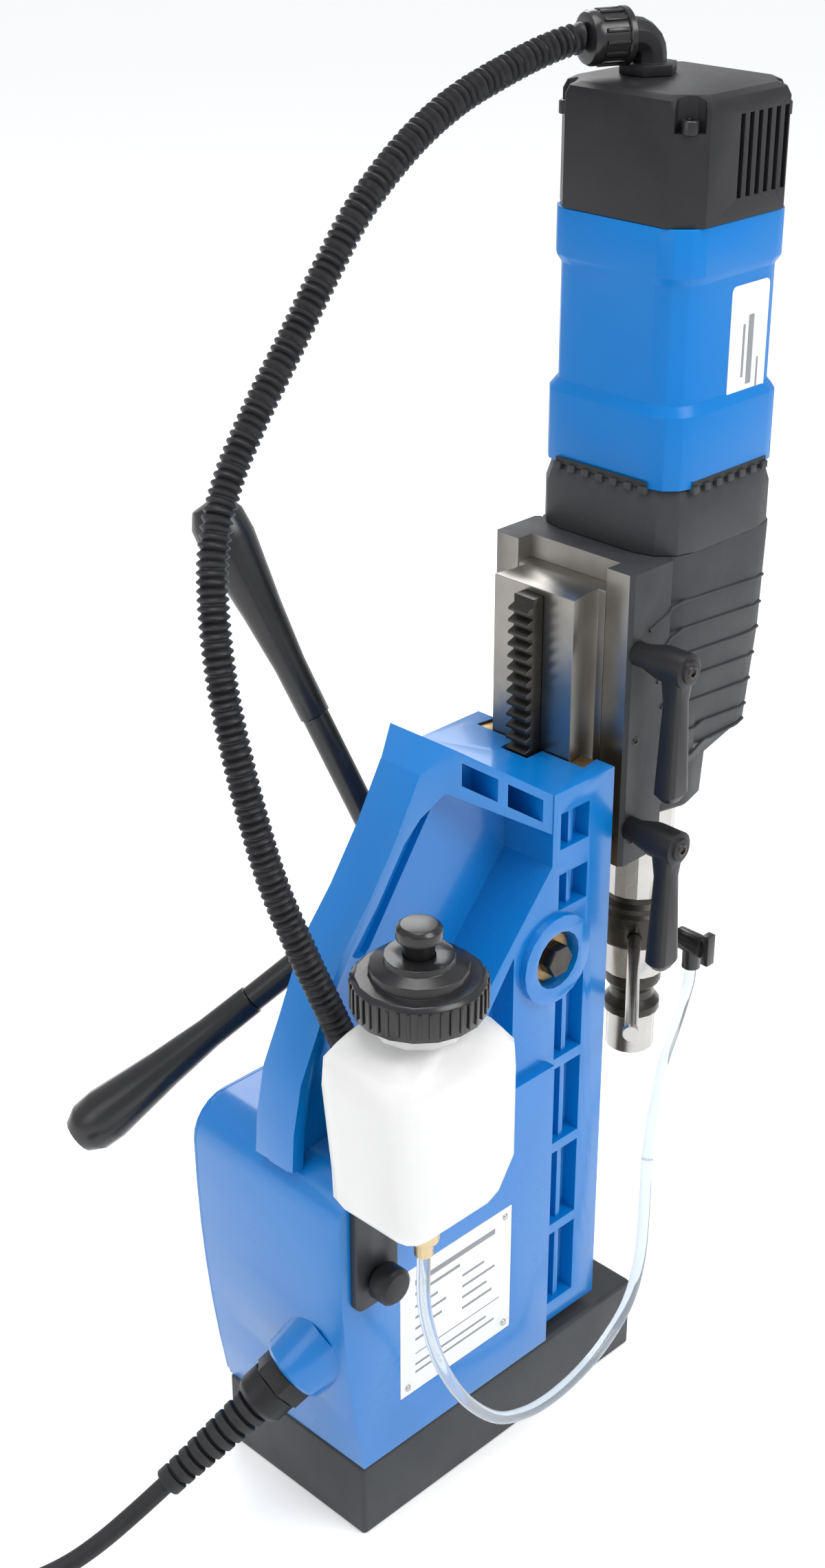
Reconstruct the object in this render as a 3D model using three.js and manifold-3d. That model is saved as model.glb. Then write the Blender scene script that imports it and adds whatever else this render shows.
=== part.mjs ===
// Magnetic drill press: an electromagnet foot, a blue cast stand with a dovetail slide bar that a rack and
// pinion lowers, and a drill motor with its gearbox clamped to the bar. A coolant bottle hangs on the
// stand.
// Millimetres. X runs across the press, +Y to its rear, +Z up. The origin is the middle of the magnet's
// face.
import * as THREE from "three";
import { mergeVertices } from "three/addons/utils/BufferGeometryUtils.js";
import Module from "manifold-3d";

const wasm = await Module();
wasm.setup();

// ---------------------------------------------------------------- driving dimensions
const GAP = 0.3;

const MAGNET = { width: 103, length: 210, height: 44, edge: 1.5, coilInset: 17, coilWidth: 12,
  coilDepth: 30 };
const COLUMN = { width: 92, front: -77, back: -32.6, height: 331, footGap: 6 };
const DOVETAIL = { floor: -65, halfFloor: 36, halfMouth: 34 };
const BAR = { halfRear: 26, halfNeck: 24, neckFront: -86, halfTongue: 28.5, tongueDepth: 9.7, length: 255,
  bottom: 205 };
const RACK = { module: 2, width: 13, pitchLine: -56.5, backlash: 0.35, endMargin: 3 };
const PINION = { teeth: 22, width: 14, height: 284, shaft: 10, boss: 24.3, bore: 15.5, bossReach: 4 };
const WINDOWS = { front: -59, back: -38, depth: 9, shallow: 3, rib: 3.2, lower: 4, upper: 2, edge: 12 };
const BOX = { width: 103, height: 179, wall: 5, bulge: 14.5, topRadius: 22 };
const BRACE = { crestBack: 49.1, crestRise: 34.7, roofDepth: 22, plate: 7, centre: -7, halfPlate: 13,
  halfCrest: 21, web: 14 };
const COVER = { thickness: 3.2, inset: 0.8 };
const GUSSET = { inset: 5.5 };
const FEED = { tilt: 25, firstAngle: 78.5, reach: 224, rod: 7.3, grip: 101, hub: 19, hubLength: 25,
  tip: 15 };
const SPINDLE_AXIS = { x: 0, y: -157 };
const HOUSING = { rear: -86, halfWidth: 45, bottom: 314, top: 472, neck: 30, mouth: 19.6 };
const HEAD = { height: 33, half: 46 };
const MOTOR = { height: 125, half: 44.5, waist: 41.5, wall: 4 };
const TOP = { height: 58, halfX: 44.2, halfY: 42.5, chamfer: 13, wall: 3.5, slots: 7, slotPitch: 6.6,
  slotWidth: 3.2 };
const GEARS = { module: 1.25, motor: 10, layDriven: 30, layDriver: 14, spindle: 26, width: 12,
  backlash: 0.3 };
const SPINDLE = { sleeve: 19, sleeveLength: 60, shaft: 12, collar: 22.5, collarHeight: 30 };
const CHUCK = { band: 18, bandHeight: 21, waist: 16, waistHeight: 26, nose: 13.75, noseHeight: 25,
  bore: 9.6, boreDepth: 40 };
const CLAMP = { upper: 431, lower: 335, y: -96, hub: 9, hubLength: 29, drop: 71, screw: 4 };
const BOTTLE = { standOff: 34.5, y: 100, z: 231, width: 60, depth: 80, shoulder: 79, height: 94, wall: 2.2,
  neck: 24 };
const CAP = { radius: 30.5, height: 17, step: 22.5, crown: 16, nozzle: 7, nozzleFlange: 10.5 };
const CONDUIT = { radius: 6.85, elbowX: 17.5, elbowRise: 17.6, nutStart: 12, nutEnd: 34, heading: 68,
  bend: 9, glandInset: 17.5, glandY: 82 };
const HOSE = { radius: 3.3 };
const MAINS = { radius: 4.8, coil: [0, 352], coilInner: 29.5, coilOuter: 71, coilLift: 1.5,
  coilHeight: 19.5, plug: 18 };
const GLAND = { x: -22, z: 106.6, dir: [0.33, 0.71, -0.62], boss: 18, hex: 13.5, relief: 60 };
const BUTTON = { radius: 8, travel: 3, z: 165 };

// ---------------------------------------------------------------- values that follow from them
const magnetHalf = { x: MAGNET.width / 2, y: MAGNET.length / 2 };
const seat = MAGNET.height + GAP;
const columnBottom = MAGNET.height + COLUMN.footGap;
const columnTop = MAGNET.height + COLUMN.height;
const columnHalf = COLUMN.width / 2;
const boxHalf = BOX.width / 2;
const boxTop = MAGNET.height + BOX.height;
const barTop = BAR.bottom + BAR.length;
const tongueFront = BAR.neckFront - BAR.tongueDepth;
const pitchRadius = (RACK.module * PINION.teeth) / 2;
const pinionY = RACK.pitchLine + pitchRadius;
const gearCavity = pitchRadius + RACK.module + 1;
const coverFace = boxHalf + GAP + COVER.thickness;
const crest = { y: COLUMN.back + BRACE.crestBack, z: columnTop + BRACE.crestRise };
const hubStart = columnHalf + PINION.bossReach + 1;
const motorBottom = HOUSING.top + HEAD.height;
const topBottom = motorBottom + MOTOR.height;
const topFace = topBottom + TOP.height;
const sleeveBottom = HOUSING.bottom + 4 - SPINDLE.sleeveLength;
const collarBottom = sleeveBottom - SPINDLE.collarHeight;
const bandBottom = collarBottom - CHUCK.bandHeight;
const waistBottom = bandBottom - CHUCK.waistHeight;
const noseBottom = waistBottom - CHUCK.noseHeight;
const layCentre = (GEARS.module * (GEARS.motor + GEARS.layDriven)) / 2;
const layRadius = (GEARS.module * (GEARS.layDriven + 2)) / 2;
const layAt = [SPINDLE_AXIS.x, SPINDLE_AXIS.y + layCentre];
const glandDir = new THREE.Vector3(...GLAND.dir).normalize();
const boxRearAt = (z) => {
  const share = Math.min(1, (z - MAGNET.height) / (BOX.height - BOX.topRadius));
  return magnetHalf.y - 0.5 + BOX.bulge * (1 - (1 - share) ** 2);
};
const glandFoot = new THREE.Vector3(GLAND.x, boxRearAt(GLAND.z), GLAND.z);

// ---------------------------------------------------------------- solids
function solid(geometry) {
  const bare = (geometry.index ? geometry.toNonIndexed() : geometry.clone());
  for (const name of Object.keys(bare.attributes)) {
    if (name !== "position") bare.deleteAttribute(name);
  }
  const merged = mergeVertices(bare, 1e-4);
  const p = merged.attributes.position.array;
  const source = merged.index.array;
  const faces = [];
  let volume = 0;
  for (let i = 0; i < source.length; i += 3) {
    const [a, b, c] = [source[i], source[i + 1], source[i + 2]];
    if (a === b || b === c || c === a) continue;
    faces.push(a, b, c);
    const [A, B, C] = [a, b, c].map((k) => new THREE.Vector3(p[3 * k], p[3 * k + 1], p[3 * k + 2]));
    volume += A.dot(B.cross(C));
  }
  if (volume < 0) faces.reverse();
  const mesh = new wasm.Mesh({ numProp: 3, vertProperties: new Float32Array(p),
    triVerts: new Uint32Array(faces) });
  return new wasm.Manifold(mesh);
}

function geometryOf(manifold) {
  const mesh = manifold.getMesh();
  const geometry = new THREE.BufferGeometry();
  geometry.setAttribute("position", new THREE.BufferAttribute(new Float32Array(mesh.vertProperties), 3));
  geometry.setIndex(new THREE.BufferAttribute(new Uint32Array(mesh.triVerts), 1));
  return geometry.toNonIndexed();
}

const join = (...pieces) => geometryOf(pieces.map(solid).reduce((whole, piece) => whole.add(piece)));
const cut = (body, ...tools) => geometryOf(tools.map(solid).reduce((rest, tool) => rest.subtract(tool),
  solid(body)));
const common = (a, b) => geometryOf(solid(a).intersect(solid(b)));

// ---------------------------------------------------------------- outlines and primitives
const radians = THREE.MathUtils.degToRad;
const arc = (cx, cy, r, from, to, steps) =>
  Array.from({ length: steps + 1 }, (_, i) => {
    const angle = radians(from + ((to - from) * i) / steps);
    return [cx + r * Math.cos(angle), cy + r * Math.sin(angle)];
  });
const circle = (cx, cy, r, sides) => arc(cx, cy, r, 0, 360, sides).slice(0, -1);
const rectangle = (x0, x1, y0, y1) => [[x0, y0], [x1, y0], [x1, y1], [x0, y1]];

// A rectangle with round corners; with one step a corner is a plain chamfer.
function softRectangle(x0, x1, y0, y1, r, steps) {
  return [
    ...arc(x1 - r, y1 - r, r, 0, 90, steps),
    ...arc(x0 + r, y1 - r, r, 90, 180, steps),
    ...arc(x0 + r, y0 + r, r, 180, 270, steps),
    ...arc(x1 - r, y0 + r, r, 270, 360, steps),
  ];
}

const toAxis = {
  x: new THREE.Matrix4().makeBasis(new THREE.Vector3(0, 1, 0), new THREE.Vector3(0, 0, 1),
    new THREE.Vector3(1, 0, 0)),
  y: new THREE.Matrix4().makeBasis(new THREE.Vector3(1, 0, 0), new THREE.Vector3(0, 0, 1),
    new THREE.Vector3(0, 1, 0)),
  z: new THREE.Matrix4(),
};

// An outline in the plane across an axis, drawn out along it between two places.
function prism(axis, outline, from, to, holes = []) {
  const shape = new THREE.Shape(outline.map(([u, v]) => new THREE.Vector2(u, v)));
  for (const hole of holes) shape.holes.push(new THREE.Path(hole.map(([u, v]) => new THREE.Vector2(u, v))));
  const geometry = new THREE.ExtrudeGeometry(shape, { depth: to - from, bevelEnabled: false });
  return geometry.translate(0, 0, from).applyMatrix4(toAxis[axis]);
}

const block = (x0, x1, y0, y1, z0, z1) => prism("z", rectangle(x0, x1, y0, y1), z0, z1);
const rod = (axis, [u, v], r, from, to, sides = 14) => prism(axis, circle(u, v, r, sides), from, to);

// A profile of [radius, place along the axis] turned round an axis through [u, v].
function turned(axis, [u, v], profile, sides = 18) {
  const points = profile.map(([r, along]) => new THREE.Vector2(r, along));
  const geometry = new THREE.LatheGeometry(points, sides).rotateX(Math.PI / 2).translate(u, v, 0);
  return geometry.applyMatrix4(toAxis[axis]);
}

// Convex outlines of equal point counts, stacked along Z and skinned.
function loft(sections) {
  const count = sections[0].outline.length;
  const positions = sections.flatMap(({ z, outline }) => outline.flatMap(([x, y]) => [x, y, z]));
  const index = [];
  for (let s = 0; s + 1 < sections.length; s += 1) {
    for (let i = 0; i < count; i += 1) {
      const [a, b] = [s * count + i, s * count + ((i + 1) % count)];
      index.push(a, b, b + count, a, b + count, a + count);
    }
  }
  const last = (sections.length - 1) * count;
  for (let i = 1; i + 1 < count; i += 1) {
    index.push(0, i + 1, i, last, last + i, last + i + 1);
  }
  const geometry = new THREE.BufferGeometry();
  geometry.setAttribute("position", new THREE.Float32BufferAttribute(positions, 3));
  geometry.setIndex(index);
  return geometry.toNonIndexed();
}

// A round section drawn along a smooth curve through the points.
function tube(points, radius, sides, steps) {
  const path = new THREE.CatmullRomCurve3(points.map((p) => new THREE.Vector3(...p)), false, "centripetal");
  const section = new THREE.Shape(circle(0, 0, radius, sides).map(([u, v]) => new THREE.Vector2(u, v)));
  return new THREE.ExtrudeGeometry(section, { steps, bevelEnabled: false, extrudePath: path });
}

// A piece made along +Z from the origin, turned to point along a direction and moved to a place.
function aim(geometry, place, direction) {
  const turn = new THREE.Quaternion().setFromUnitVectors(new THREE.Vector3(0, 0, 1),
    direction.clone().normalize());
  return geometry.applyQuaternion(turn).translate(place.x, place.y, place.z);
}

// ---------------------------------------------------------------- teeth
function gearOutline(teeth, module, backlash, flankSteps, turn = 0) {
  const pitch = (module * teeth) / 2;
  const pressure = radians(20);
  const base = pitch * Math.cos(pressure);
  const tip = pitch + 0.92 * module;
  const root = pitch - 1.2 * module;
  const involute = (angle) => Math.tan(angle) - angle;
  const half = Math.PI / (2 * teeth) - backlash / (2 * pitch) + involute(pressure);
  const start = Math.max(base, root);
  const flank = Array.from({ length: flankSteps + 1 }, (_, i) => {
    const r = start + ((tip - start) * i) / flankSteps;
    return [r, half - involute(Math.acos(Math.min(1, base / r)))];
  });
  if (root < start) flank.unshift([root, flank[0][1]]);
  const outline = [];
  for (let tooth = 0; tooth < teeth; tooth += 1) {
    const centre = turn + (2 * Math.PI * tooth) / teeth;
    for (const [r, a] of flank) outline.push([r * Math.cos(centre - a), r * Math.sin(centre - a)]);
    for (const [r, a] of flank.toReversed()) outline.push([r * Math.cos(centre + a),
      r * Math.sin(centre + a)]);
  }
  return outline;
}

const shifted = (outline, [u, v]) => outline.map(([a, b]) => [a + u, b + v]);

// ---------------------------------------------------------------- stand
function magnetBase() {
  const { x, y } = magnetHalf;
  const e = MAGNET.edge;
  const outline = softRectangle(-x, x, -y, y, e, 1);
  const inner = softRectangle(-x + e, x - e, -y + e, y - e, e, 1);
  const body = loft([{ z: 0, outline }, { z: MAGNET.height - e, outline },
    { z: MAGNET.height, outline: inner }]);
  return cut(body, coilRing(0, -1, MAGNET.coilDepth));
}

// The winding sits in a groove that opens in the magnet's face, and GAP clears it all round.
function coilRing(clear, from, to) {
  const outer = softRectangle(
    -magnetHalf.x + MAGNET.coilInset + clear, magnetHalf.x - MAGNET.coilInset - clear,
    -magnetHalf.y + MAGNET.coilInset + clear, magnetHalf.y - MAGNET.coilInset - clear, 12, 4);
  const i = MAGNET.coilInset + MAGNET.coilWidth - clear;
  const inner = softRectangle(-magnetHalf.x + i, magnetHalf.x - i, -magnetHalf.y + i, magnetHalf.y - i, 6,
    4);
  return prism("z", outer, from, to, [inner]);
}

function boxOutline(inset) {
  const top = boxTop - inset;
  const bottom = seat + inset;
  const radius = BOX.topRadius - inset;
  const rise = top - radius;
  const steps = 6;
  const rear = Array.from({ length: steps + 1 }, (_, i) => {
    const z = bottom + ((rise - bottom) * i) / steps;
    return [boxRearAt(z) - inset, z];
  });
  const corner = arc(boxRearAt(boxTop) - inset - radius, rise, radius, 0, 90, 6).slice(1);
  return [[COLUMN.back + inset, bottom], ...rear, ...corner, [COLUMN.back + inset, top]];
}

function column() {
  const body = block(-columnHalf, columnHalf, COLUMN.front, COLUMN.back, columnBottom, columnTop);
  const foot = block(-columnHalf + 8, columnHalf - 8, COLUMN.front + 14, COLUMN.back, seat,
    columnBottom + 1);
  return join(body, foot);
}

// The dovetail groove for the bar, and behind it the deeper way for the rack.
function slideWays() {
  const floor = DOVETAIL.floor;
  const mouth = [[-DOVETAIL.halfMouth, COLUMN.front - 1], [DOVETAIL.halfMouth, COLUMN.front - 1],
    [DOVETAIL.halfFloor, floor], [-DOVETAIL.halfFloor, floor]];
  const groove = prism("z", mouth, columnBottom - 1, columnTop + 1);
  const rackHalf = RACK.width / 2 + 2.5;
  const rackWay = block(-rackHalf, rackHalf, floor - 1, RACK.pitchLine + 3, columnBottom - 1,
    columnTop + 1);
  return [groove, rackWay];
}

function windowCuts() {
  const { front, back, depth, shallow, rib, edge } = WINDOWS;
  const low = { from: columnBottom + edge, to: PINION.height - 16, count: WINDOWS.lower, bar: 6 };
  const high = { from: PINION.height + 25, to: columnTop - edge, count: WINDOWS.upper, bar: 14 };
  const cuts = [];
  for (const run of [low, high]) {
    const pitch = (run.to - run.from + run.bar) / run.count;
    for (let i = 0; i < run.count; i += 1) {
      const [z0, z1] = [run.from + pitch * i, run.from + pitch * (i + 1) - run.bar];
      const middle = (front + back) / 2;
      for (const side of [-1, 1]) {
        const across = (d) => (side < 0 ? [-columnHalf - 1, -columnHalf + d] : [columnHalf - d,
          columnHalf + 1]);
        cuts.push(block(...across(shallow), front, back, z0, z1));
        cuts.push(block(...across(depth), front, middle - rib / 2, z0, z1));
        cuts.push(block(...across(depth), middle + rib / 2, back, z0, z1));
      }
    }
  }
  return cuts;
}

// The brace leans back from the column's top to the box's rear edge: a tapering roof, then a narrow plate.
function bracePlate() {
  const foot = { y: boxRearAt(boxTop), z: boxTop - 4 };
  const at = ([along, up]) => [
    THREE.MathUtils.lerp(crest.y, foot.y, along), THREE.MathUtils.lerp(foot.z, crest.z, up)];
  const outer = [[0, 1], [0.16, 0.949], [0.317, 0.8], [0.49, 0.664], [0.678, 0.544], [0.83, 0.36],
    [0.932, 0.246],
    [0.985, 0.11], [1, 0]].map(at);
  return outer;
}

function brace() {
  const outer = bracePlate();
  const inner = outer.map(([y, z], i) => {
    const [before, after] = [outer[Math.max(0, i - 1)], outer[Math.min(outer.length - 1, i + 1)]];
    const [dy, dz] = [after[0] - before[0], after[1] - before[1]];
    const length = Math.hypot(dy, dz);
    return [y + (dz / length) * BRACE.plate, z - (dy / length) * BRACE.plate];
  });
  const roofStart = [COLUMN.back - 1, columnTop - 0.7];
  const ribbon = [roofStart, ...outer, ...inner.toReversed().slice(0, -2),
    [crest.y + 4, crest.z - BRACE.roofDepth], [COLUMN.back - 1, columnTop - BRACE.roofDepth]];
  const c = BRACE.centre;
  const plan = [[-columnHalf, COLUMN.back - 2], [c + 2 - BRACE.halfCrest, crest.y],
    [c - BRACE.halfPlate, crest.y + 16], [c - BRACE.halfPlate, plateRear()],
    [c + BRACE.halfPlate, plateRear()],
    [c + BRACE.halfPlate, crest.y + 16], [c + 2 + BRACE.halfCrest, crest.y], [columnHalf, COLUMN.back - 2]];
  const ribbonSolid = prism("x", ribbon, -columnHalf, columnHalf);
  const shell = common(ribbonSolid, prism("z", plan, boxTop - 60, crest.z + 5));
  const webOutline = [[COLUMN.back - 1, columnTop - 8], ...outer.map(([y, z]) => [y - 3, z - 3]),
    [outer.at(-1)[0] - 3, boxTop - 8], [COLUMN.back - 1, boxTop - 8]];
  const web = prism("x", webOutline, c - BRACE.web / 2, c + BRACE.web / 2);
  return cut(join(shell, web), ...roofWindows(), ...slotRecesses());
}

const plateRear = () => boxRearAt(boxTop) + 6;

// Two openings in each flank of the roof stop at the web, so the roof is a deep I section.
function roofWindows() {
  const run = crest.y - COLUMN.back;
  const slope = (crest.z - columnTop) / run;
  const cuts = [];
  for (const [from, to] of [[0.1, 0.46], [0.56, 0.92]]) {
    const [y0, y1] = [COLUMN.back + from * run, COLUMN.back + to * run];
    const z = (y, drop) => columnTop + slope * (y - COLUMN.back) - drop;
    const outline = [[y0, z(y0, 17)], [y1, z(y1, 17)], [y1, z(y1, 5)], [y0, z(y0, 5)]];
    const reach = BRACE.web / 2 + 3;
    cuts.push(prism("x", outline, -columnHalf - 1, BRACE.centre - reach));
    cuts.push(prism("x", outline, BRACE.centre + reach, columnHalf + 1));
  }
  return cuts;
}

// A long round-ended recess follows the plate on each face of the web.
function slotRecesses() {
  const [top, low] = [[crest.y + 6, crest.z - 26], [crest.y + 50, crest.z - 89]];
  const length = Math.hypot(low[0] - top[0], low[1] - top[1]);
  const lean = THREE.MathUtils.radToDeg(Math.atan2(low[1] - top[1], low[0] - top[0]));
  const r = 7;
  const ends = [...arc(length, 0, r, -90, 90, 6), ...arc(0, 0, r, 90, 270, 6)];
  const turn = radians(lean);
  const outline = ends.map(([a, b]) => [
    top[0] + a * Math.cos(turn) - b * Math.sin(turn), top[1] + a * Math.sin(turn) + b * Math.cos(turn)]);
  const half = BRACE.web / 2;
  const deep = 4;
  return [prism("x", outline, BRACE.centre - half - 1, BRACE.centre - half + deep),
    prism("x", outline, BRACE.centre + half - deep, BRACE.centre + half + 1)];
}

// A wedge carries the column down onto the box. It stands inside the box's two faces by the inset,
// with a pocket in each flank under its rim.
function gusset() {
  const [top, low] = [[COLUMN.back - 1, PINION.height + 53], [COLUMN.back + 99.6, boxTop - 1]];
  const half = boxHalf - GUSSET.inset;
  const body = prism("x", [top, low, [COLUMN.back - 1, boxTop - 1]], -half, half);
  const rim = 7;
  const lift = (low[1] - top[1]) / (low[0] - top[0]);
  const edge = (y) => top[1] + lift * (y - top[0]) - rim * 1.4;
  const start = pinionY + PINION.boss + 4;
  const pocket = [[start, boxTop + 6], [low[0] - 24, boxTop + 6], [start, edge(start)]];
  const deep = half - 14;
  return cut(body, prism("x", pocket, -half - 1, -deep), prism("x", pocket, deep, half + 1));
}

function glandBoss() {
  const body = turned("z", [0, 0], [[0, -16], [GLAND.boss + 3, -16], [GLAND.boss, 10],
    [GLAND.boss - 2, 12], [0, 12]], 18);
  return aim(body, glandFoot, glandDir);
}

function standCasting() {
  const box = prism("x", boxOutline(0), -boxHalf, boxHalf);
  const bay = prism("x", boxOutline(BOX.wall), -boxHalf + BOX.wall, boxHalf + 1);
  const bossReach = columnHalf + PINION.bossReach;
  const boss = rod("x", [pinionY, PINION.height], PINION.boss, -bossReach, bossReach, 18);
  const gearCase = rod("x", [pinionY, PINION.height], gearCavity + 4, -PINION.width / 2 - 7,
    PINION.width / 2 + 7, 18);
  const bore = rod("x", [pinionY, PINION.height], PINION.bore, -bossReach - 1, bossReach + 1, 18);
  const cavity = rod("x", [pinionY, PINION.height], gearCavity, -PINION.width / 2 - 2,
    PINION.width / 2 + 2, 18);
  const plate = nameplateBox(GAP, 1.3);
  const body = cut(join(box, column(), gusset(), brace(), glandBoss()), ...windowCuts());
  return cut(join(body, boss, gearCase), ...slideWays(), bay, cavity, bore, plate);
}

function nameplateBox(clear, depth) {
  const x = -boxHalf + depth;
  return block(-boxHalf - (clear > 0 ? 1 : 0.1), x, -2.5 - clear, 78.5 + clear, 73 - clear, 152 + clear);
}

const nameplate = () => nameplateBox(0, 1);

const controlCover = () => prism("x", boxOutline(COVER.inset), boxHalf + GAP, coverFace);

function controlBoard() {
  const x = -boxHalf + BOX.wall + GAP;
  const rear = magnetHalf.y - 20;
  const board = block(x + 8, x + 10, COLUMN.back + 14, rear, columnBottom + 14, boxTop - 30);
  const posts = [[COLUMN.back + 20, columnBottom + 20], [rear - 6, columnBottom + 20],
    [COLUMN.back + 20, boxTop - 36], [rear - 6, boxTop - 36]].map((at) => rod("x", at, 4, x, x + 9, 10));
  return join(board, ...posts, block(x + 9, x + 32, 10, 45, columnBottom + 40, columnBottom + 90));
}

function gib(side) {
  const [floor, mouth] = [DOVETAIL.halfFloor - GAP, DOVETAIL.halfMouth - GAP];
  const outline = [[BAR.halfRear + GAP, DOVETAIL.floor - GAP], [floor, DOVETAIL.floor - GAP],
    [mouth, COLUMN.front], [BAR.halfNeck + GAP, COLUMN.front]].map(([x, y]) => [side * x, y]);
  return prism("z", outline, columnBottom, columnTop - 1);
}

// ---------------------------------------------------------------- feed
const feedCentre = [pinionY, PINION.height];
const shaftEnd = -columnHalf + 4;
const bushEnd = { left: shaftEnd, right: columnHalf };

const bushInner = PINION.width / 2 + 2 + GAP;
const pinionBush = (from, to) =>
  prism("x", circle(...feedCentre, PINION.bore - GAP, 18), from, to,
    [circle(...feedCentre, PINION.shaft + GAP, 16)]);

const pinionShaft = () => rod("x", feedCentre, PINION.shaft, shaftEnd, hubStart + FEED.hubLength - 6, 16);

function pinionGear() {
  const teeth = shifted(gearOutline(PINION.teeth, RACK.module, RACK.backlash, 2, Math.PI), feedCentre);
  return prism("x", teeth, -PINION.width / 2, PINION.width / 2,
    [circle(...feedCentre, PINION.shaft + GAP, 16)]);
}

const washerEnd = shaftEnd - GAP - 2.5;
const shaftWasher = () => rod("x", feedCentre, PINION.bore - 2.5, washerEnd, washerEnd + 2.5, 16);
const shaftBolt = () => rod("x", feedCentre, 8.6, washerEnd - GAP - 7, washerEnd - GAP, 6);

function feedDirection(index) {
  const [tilt, turn] = [radians(FEED.tilt), radians(FEED.firstAngle - 120 * index)];
  return new THREE.Vector3(Math.sin(tilt), Math.cos(tilt) * Math.cos(turn),
    Math.cos(tilt) * Math.sin(turn));
}

const hubCentre = new THREE.Vector3(hubStart + FEED.hubLength / 2 - 1.5, pinionY, PINION.height);
const rodStart = 12;

function feedHub() {
  const end = hubStart + FEED.hubLength;
  const body = turned("x", feedCentre, [[0, hubStart], [FEED.hub - 2, hubStart], [FEED.hub, hubStart + 3],
    [FEED.hub, end - 6], [FEED.hub - 7, end], [0, end]], 18);
  const sockets = [0, 1, 2].map((i) =>
    aim(rod("z", [0, 0], FEED.rod + GAP, rodStart - GAP, FEED.hub * 2, 16), hubCentre, feedDirection(i)));
  const shaftHole = rod("x", feedCentre, PINION.shaft + GAP, hubStart - 1,
    hubStart + FEED.hubLength - 6 + GAP, 16);
  return cut(body, shaftHole, ...sockets);
}

// The rods leave the hub clear of the shaft's end, so each starts a little way out.
const feedRod = (i) => {
  const bar = aim(rod("z", [0, 0], FEED.rod, rodStart, FEED.grip - GAP, 16), hubCentre, feedDirection(i));
  return cut(bar, rod("x", feedCentre, PINION.shaft + 2 * GAP, hubStart - 5,
    hubStart + FEED.hubLength - 5, 16));
};

function feedGrip(i) {
  const [start, end, tip] = [FEED.grip, FEED.reach, FEED.tip];
  const profile = [[0, start], [FEED.rod + 0.9, start], [FEED.rod + 1.2, start + 30], [tip - 4.2, end - 62],
    [tip, end - 22], [tip - 0.6, end - 10], [tip - 5, end - 2], [0, end]];
  return aim(turned("z", [0, 0], profile, 16), hubCentre, feedDirection(i));
}

// ---------------------------------------------------------------- slide bar and rack
function slideBar() {
  const neck = [[-BAR.halfRear, DOVETAIL.floor - 1], [-BAR.halfNeck, COLUMN.front],
    [-BAR.halfNeck, BAR.neckFront],
    [-BAR.halfTongue, BAR.neckFront], [-BAR.halfTongue, tongueFront], [BAR.halfTongue, tongueFront],
    [BAR.halfTongue, BAR.neckFront], [BAR.halfNeck, BAR.neckFront], [BAR.halfNeck, COLUMN.front],
    [BAR.halfRear, DOVETAIL.floor - 1]];
  return prism("z", neck, BAR.bottom, barTop);
}

function rack() {
  const pitch = Math.PI * RACK.module;
  const slope = Math.tan(radians(20));
  const [tip, root] = [RACK.pitchLine + 0.92 * RACK.module, RACK.pitchLine - 1.2 * RACK.module];
  const half = pitch / 4 - RACK.backlash / 2;
  const [halfTip, halfRoot] = [half - slope * (tip - RACK.pitchLine),
    half + slope * (RACK.pitchLine - root)];
  const [low, high] = [BAR.bottom + RACK.endMargin, barTop - RACK.endMargin];
  const first = Math.ceil((low + halfRoot - PINION.height) / pitch - 0.5);
  const last = Math.floor((high - halfRoot - PINION.height) / pitch - 0.5);
  const back = DOVETAIL.floor - 1 + GAP;
  const outline = [[back, high], [back, low], [root, low]];
  for (let tooth = first; tooth <= last; tooth += 1) {
    const z = PINION.height + (tooth + 0.5) * pitch;
    outline.push([root, z - halfRoot], [tip, z - halfTip], [tip, z + halfTip], [root, z + halfRoot]);
  }
  outline.push([root, high]);
  return prism("x", outline, -RACK.width / 2, RACK.width / 2);
}

// ---------------------------------------------------------------- drill head
const axisAt = [SPINDLE_AXIS.x, SPINDLE_AXIS.y];

// A soft square round the spindle axis, inset from half sizes hx and hy.
const square = (hx, hy, r, steps = 3) =>
  softRectangle(SPINDLE_AXIS.x - hx, SPINDLE_AXIS.x + hx, SPINDLE_AXIS.y - hy, SPINDLE_AXIS.y + hy, r,
    steps);

function gearHousing() {
  const { bottom, top, neck, halfWidth, rear } = HOUSING;
  const shell = loft([
    { z: bottom + 4, outline: square(neck - 1.5, neck - 1.5, neck - 3) },
    { z: bottom + 6, outline: square(neck, neck, neck - 2) },
    { z: bottom + 30, outline: square(neck + 1, neck + 1, neck - 2) },
    { z: bottom + 46, outline: square(39, 45, 18) },
    { z: bottom + 100, outline: square(43.5, 46, 18) },
    { z: top, outline: square(halfWidth, 46.5, 18) },
  ]);
  const mountPlate = prism("z", softRectangle(-halfWidth, halfWidth, rear - 32, rear, 2, 1), bottom, top);
  const shoulder = prism("x", [[rear - 20, bottom + 8], [rear - 20, top - 1], [rear - 60, top - 1],
    [rear - 60, bottom + 44]],
    -halfWidth + 4, halfWidth - 4);
  const way = block(-BAR.halfTongue - GAP, BAR.halfTongue + GAP, tongueFront - GAP, rear + 1, bottom - 1,
    top + 1);
  const inside = rod("z", axisAt, 36, bottom + 50, top + 1, 18);
  const mouth = rod("z", axisAt, HOUSING.mouth, bottom - 1, bottom + 60, 18);
  const layWell = rod("z", layAt, layRadius + 1.2, bottom + 70, top + 1, 18);
  const screws = [CLAMP.upper, CLAMP.lower].map((z) =>
    rod("x", [CLAMP.y + 4.2, z], CLAMP.screw + GAP, -halfWidth - 1, -BAR.halfTongue, 14));
  return cut(join(shell, mountPlate, shoulder), way, inside, mouth, layWell, ...screws);
}

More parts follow.
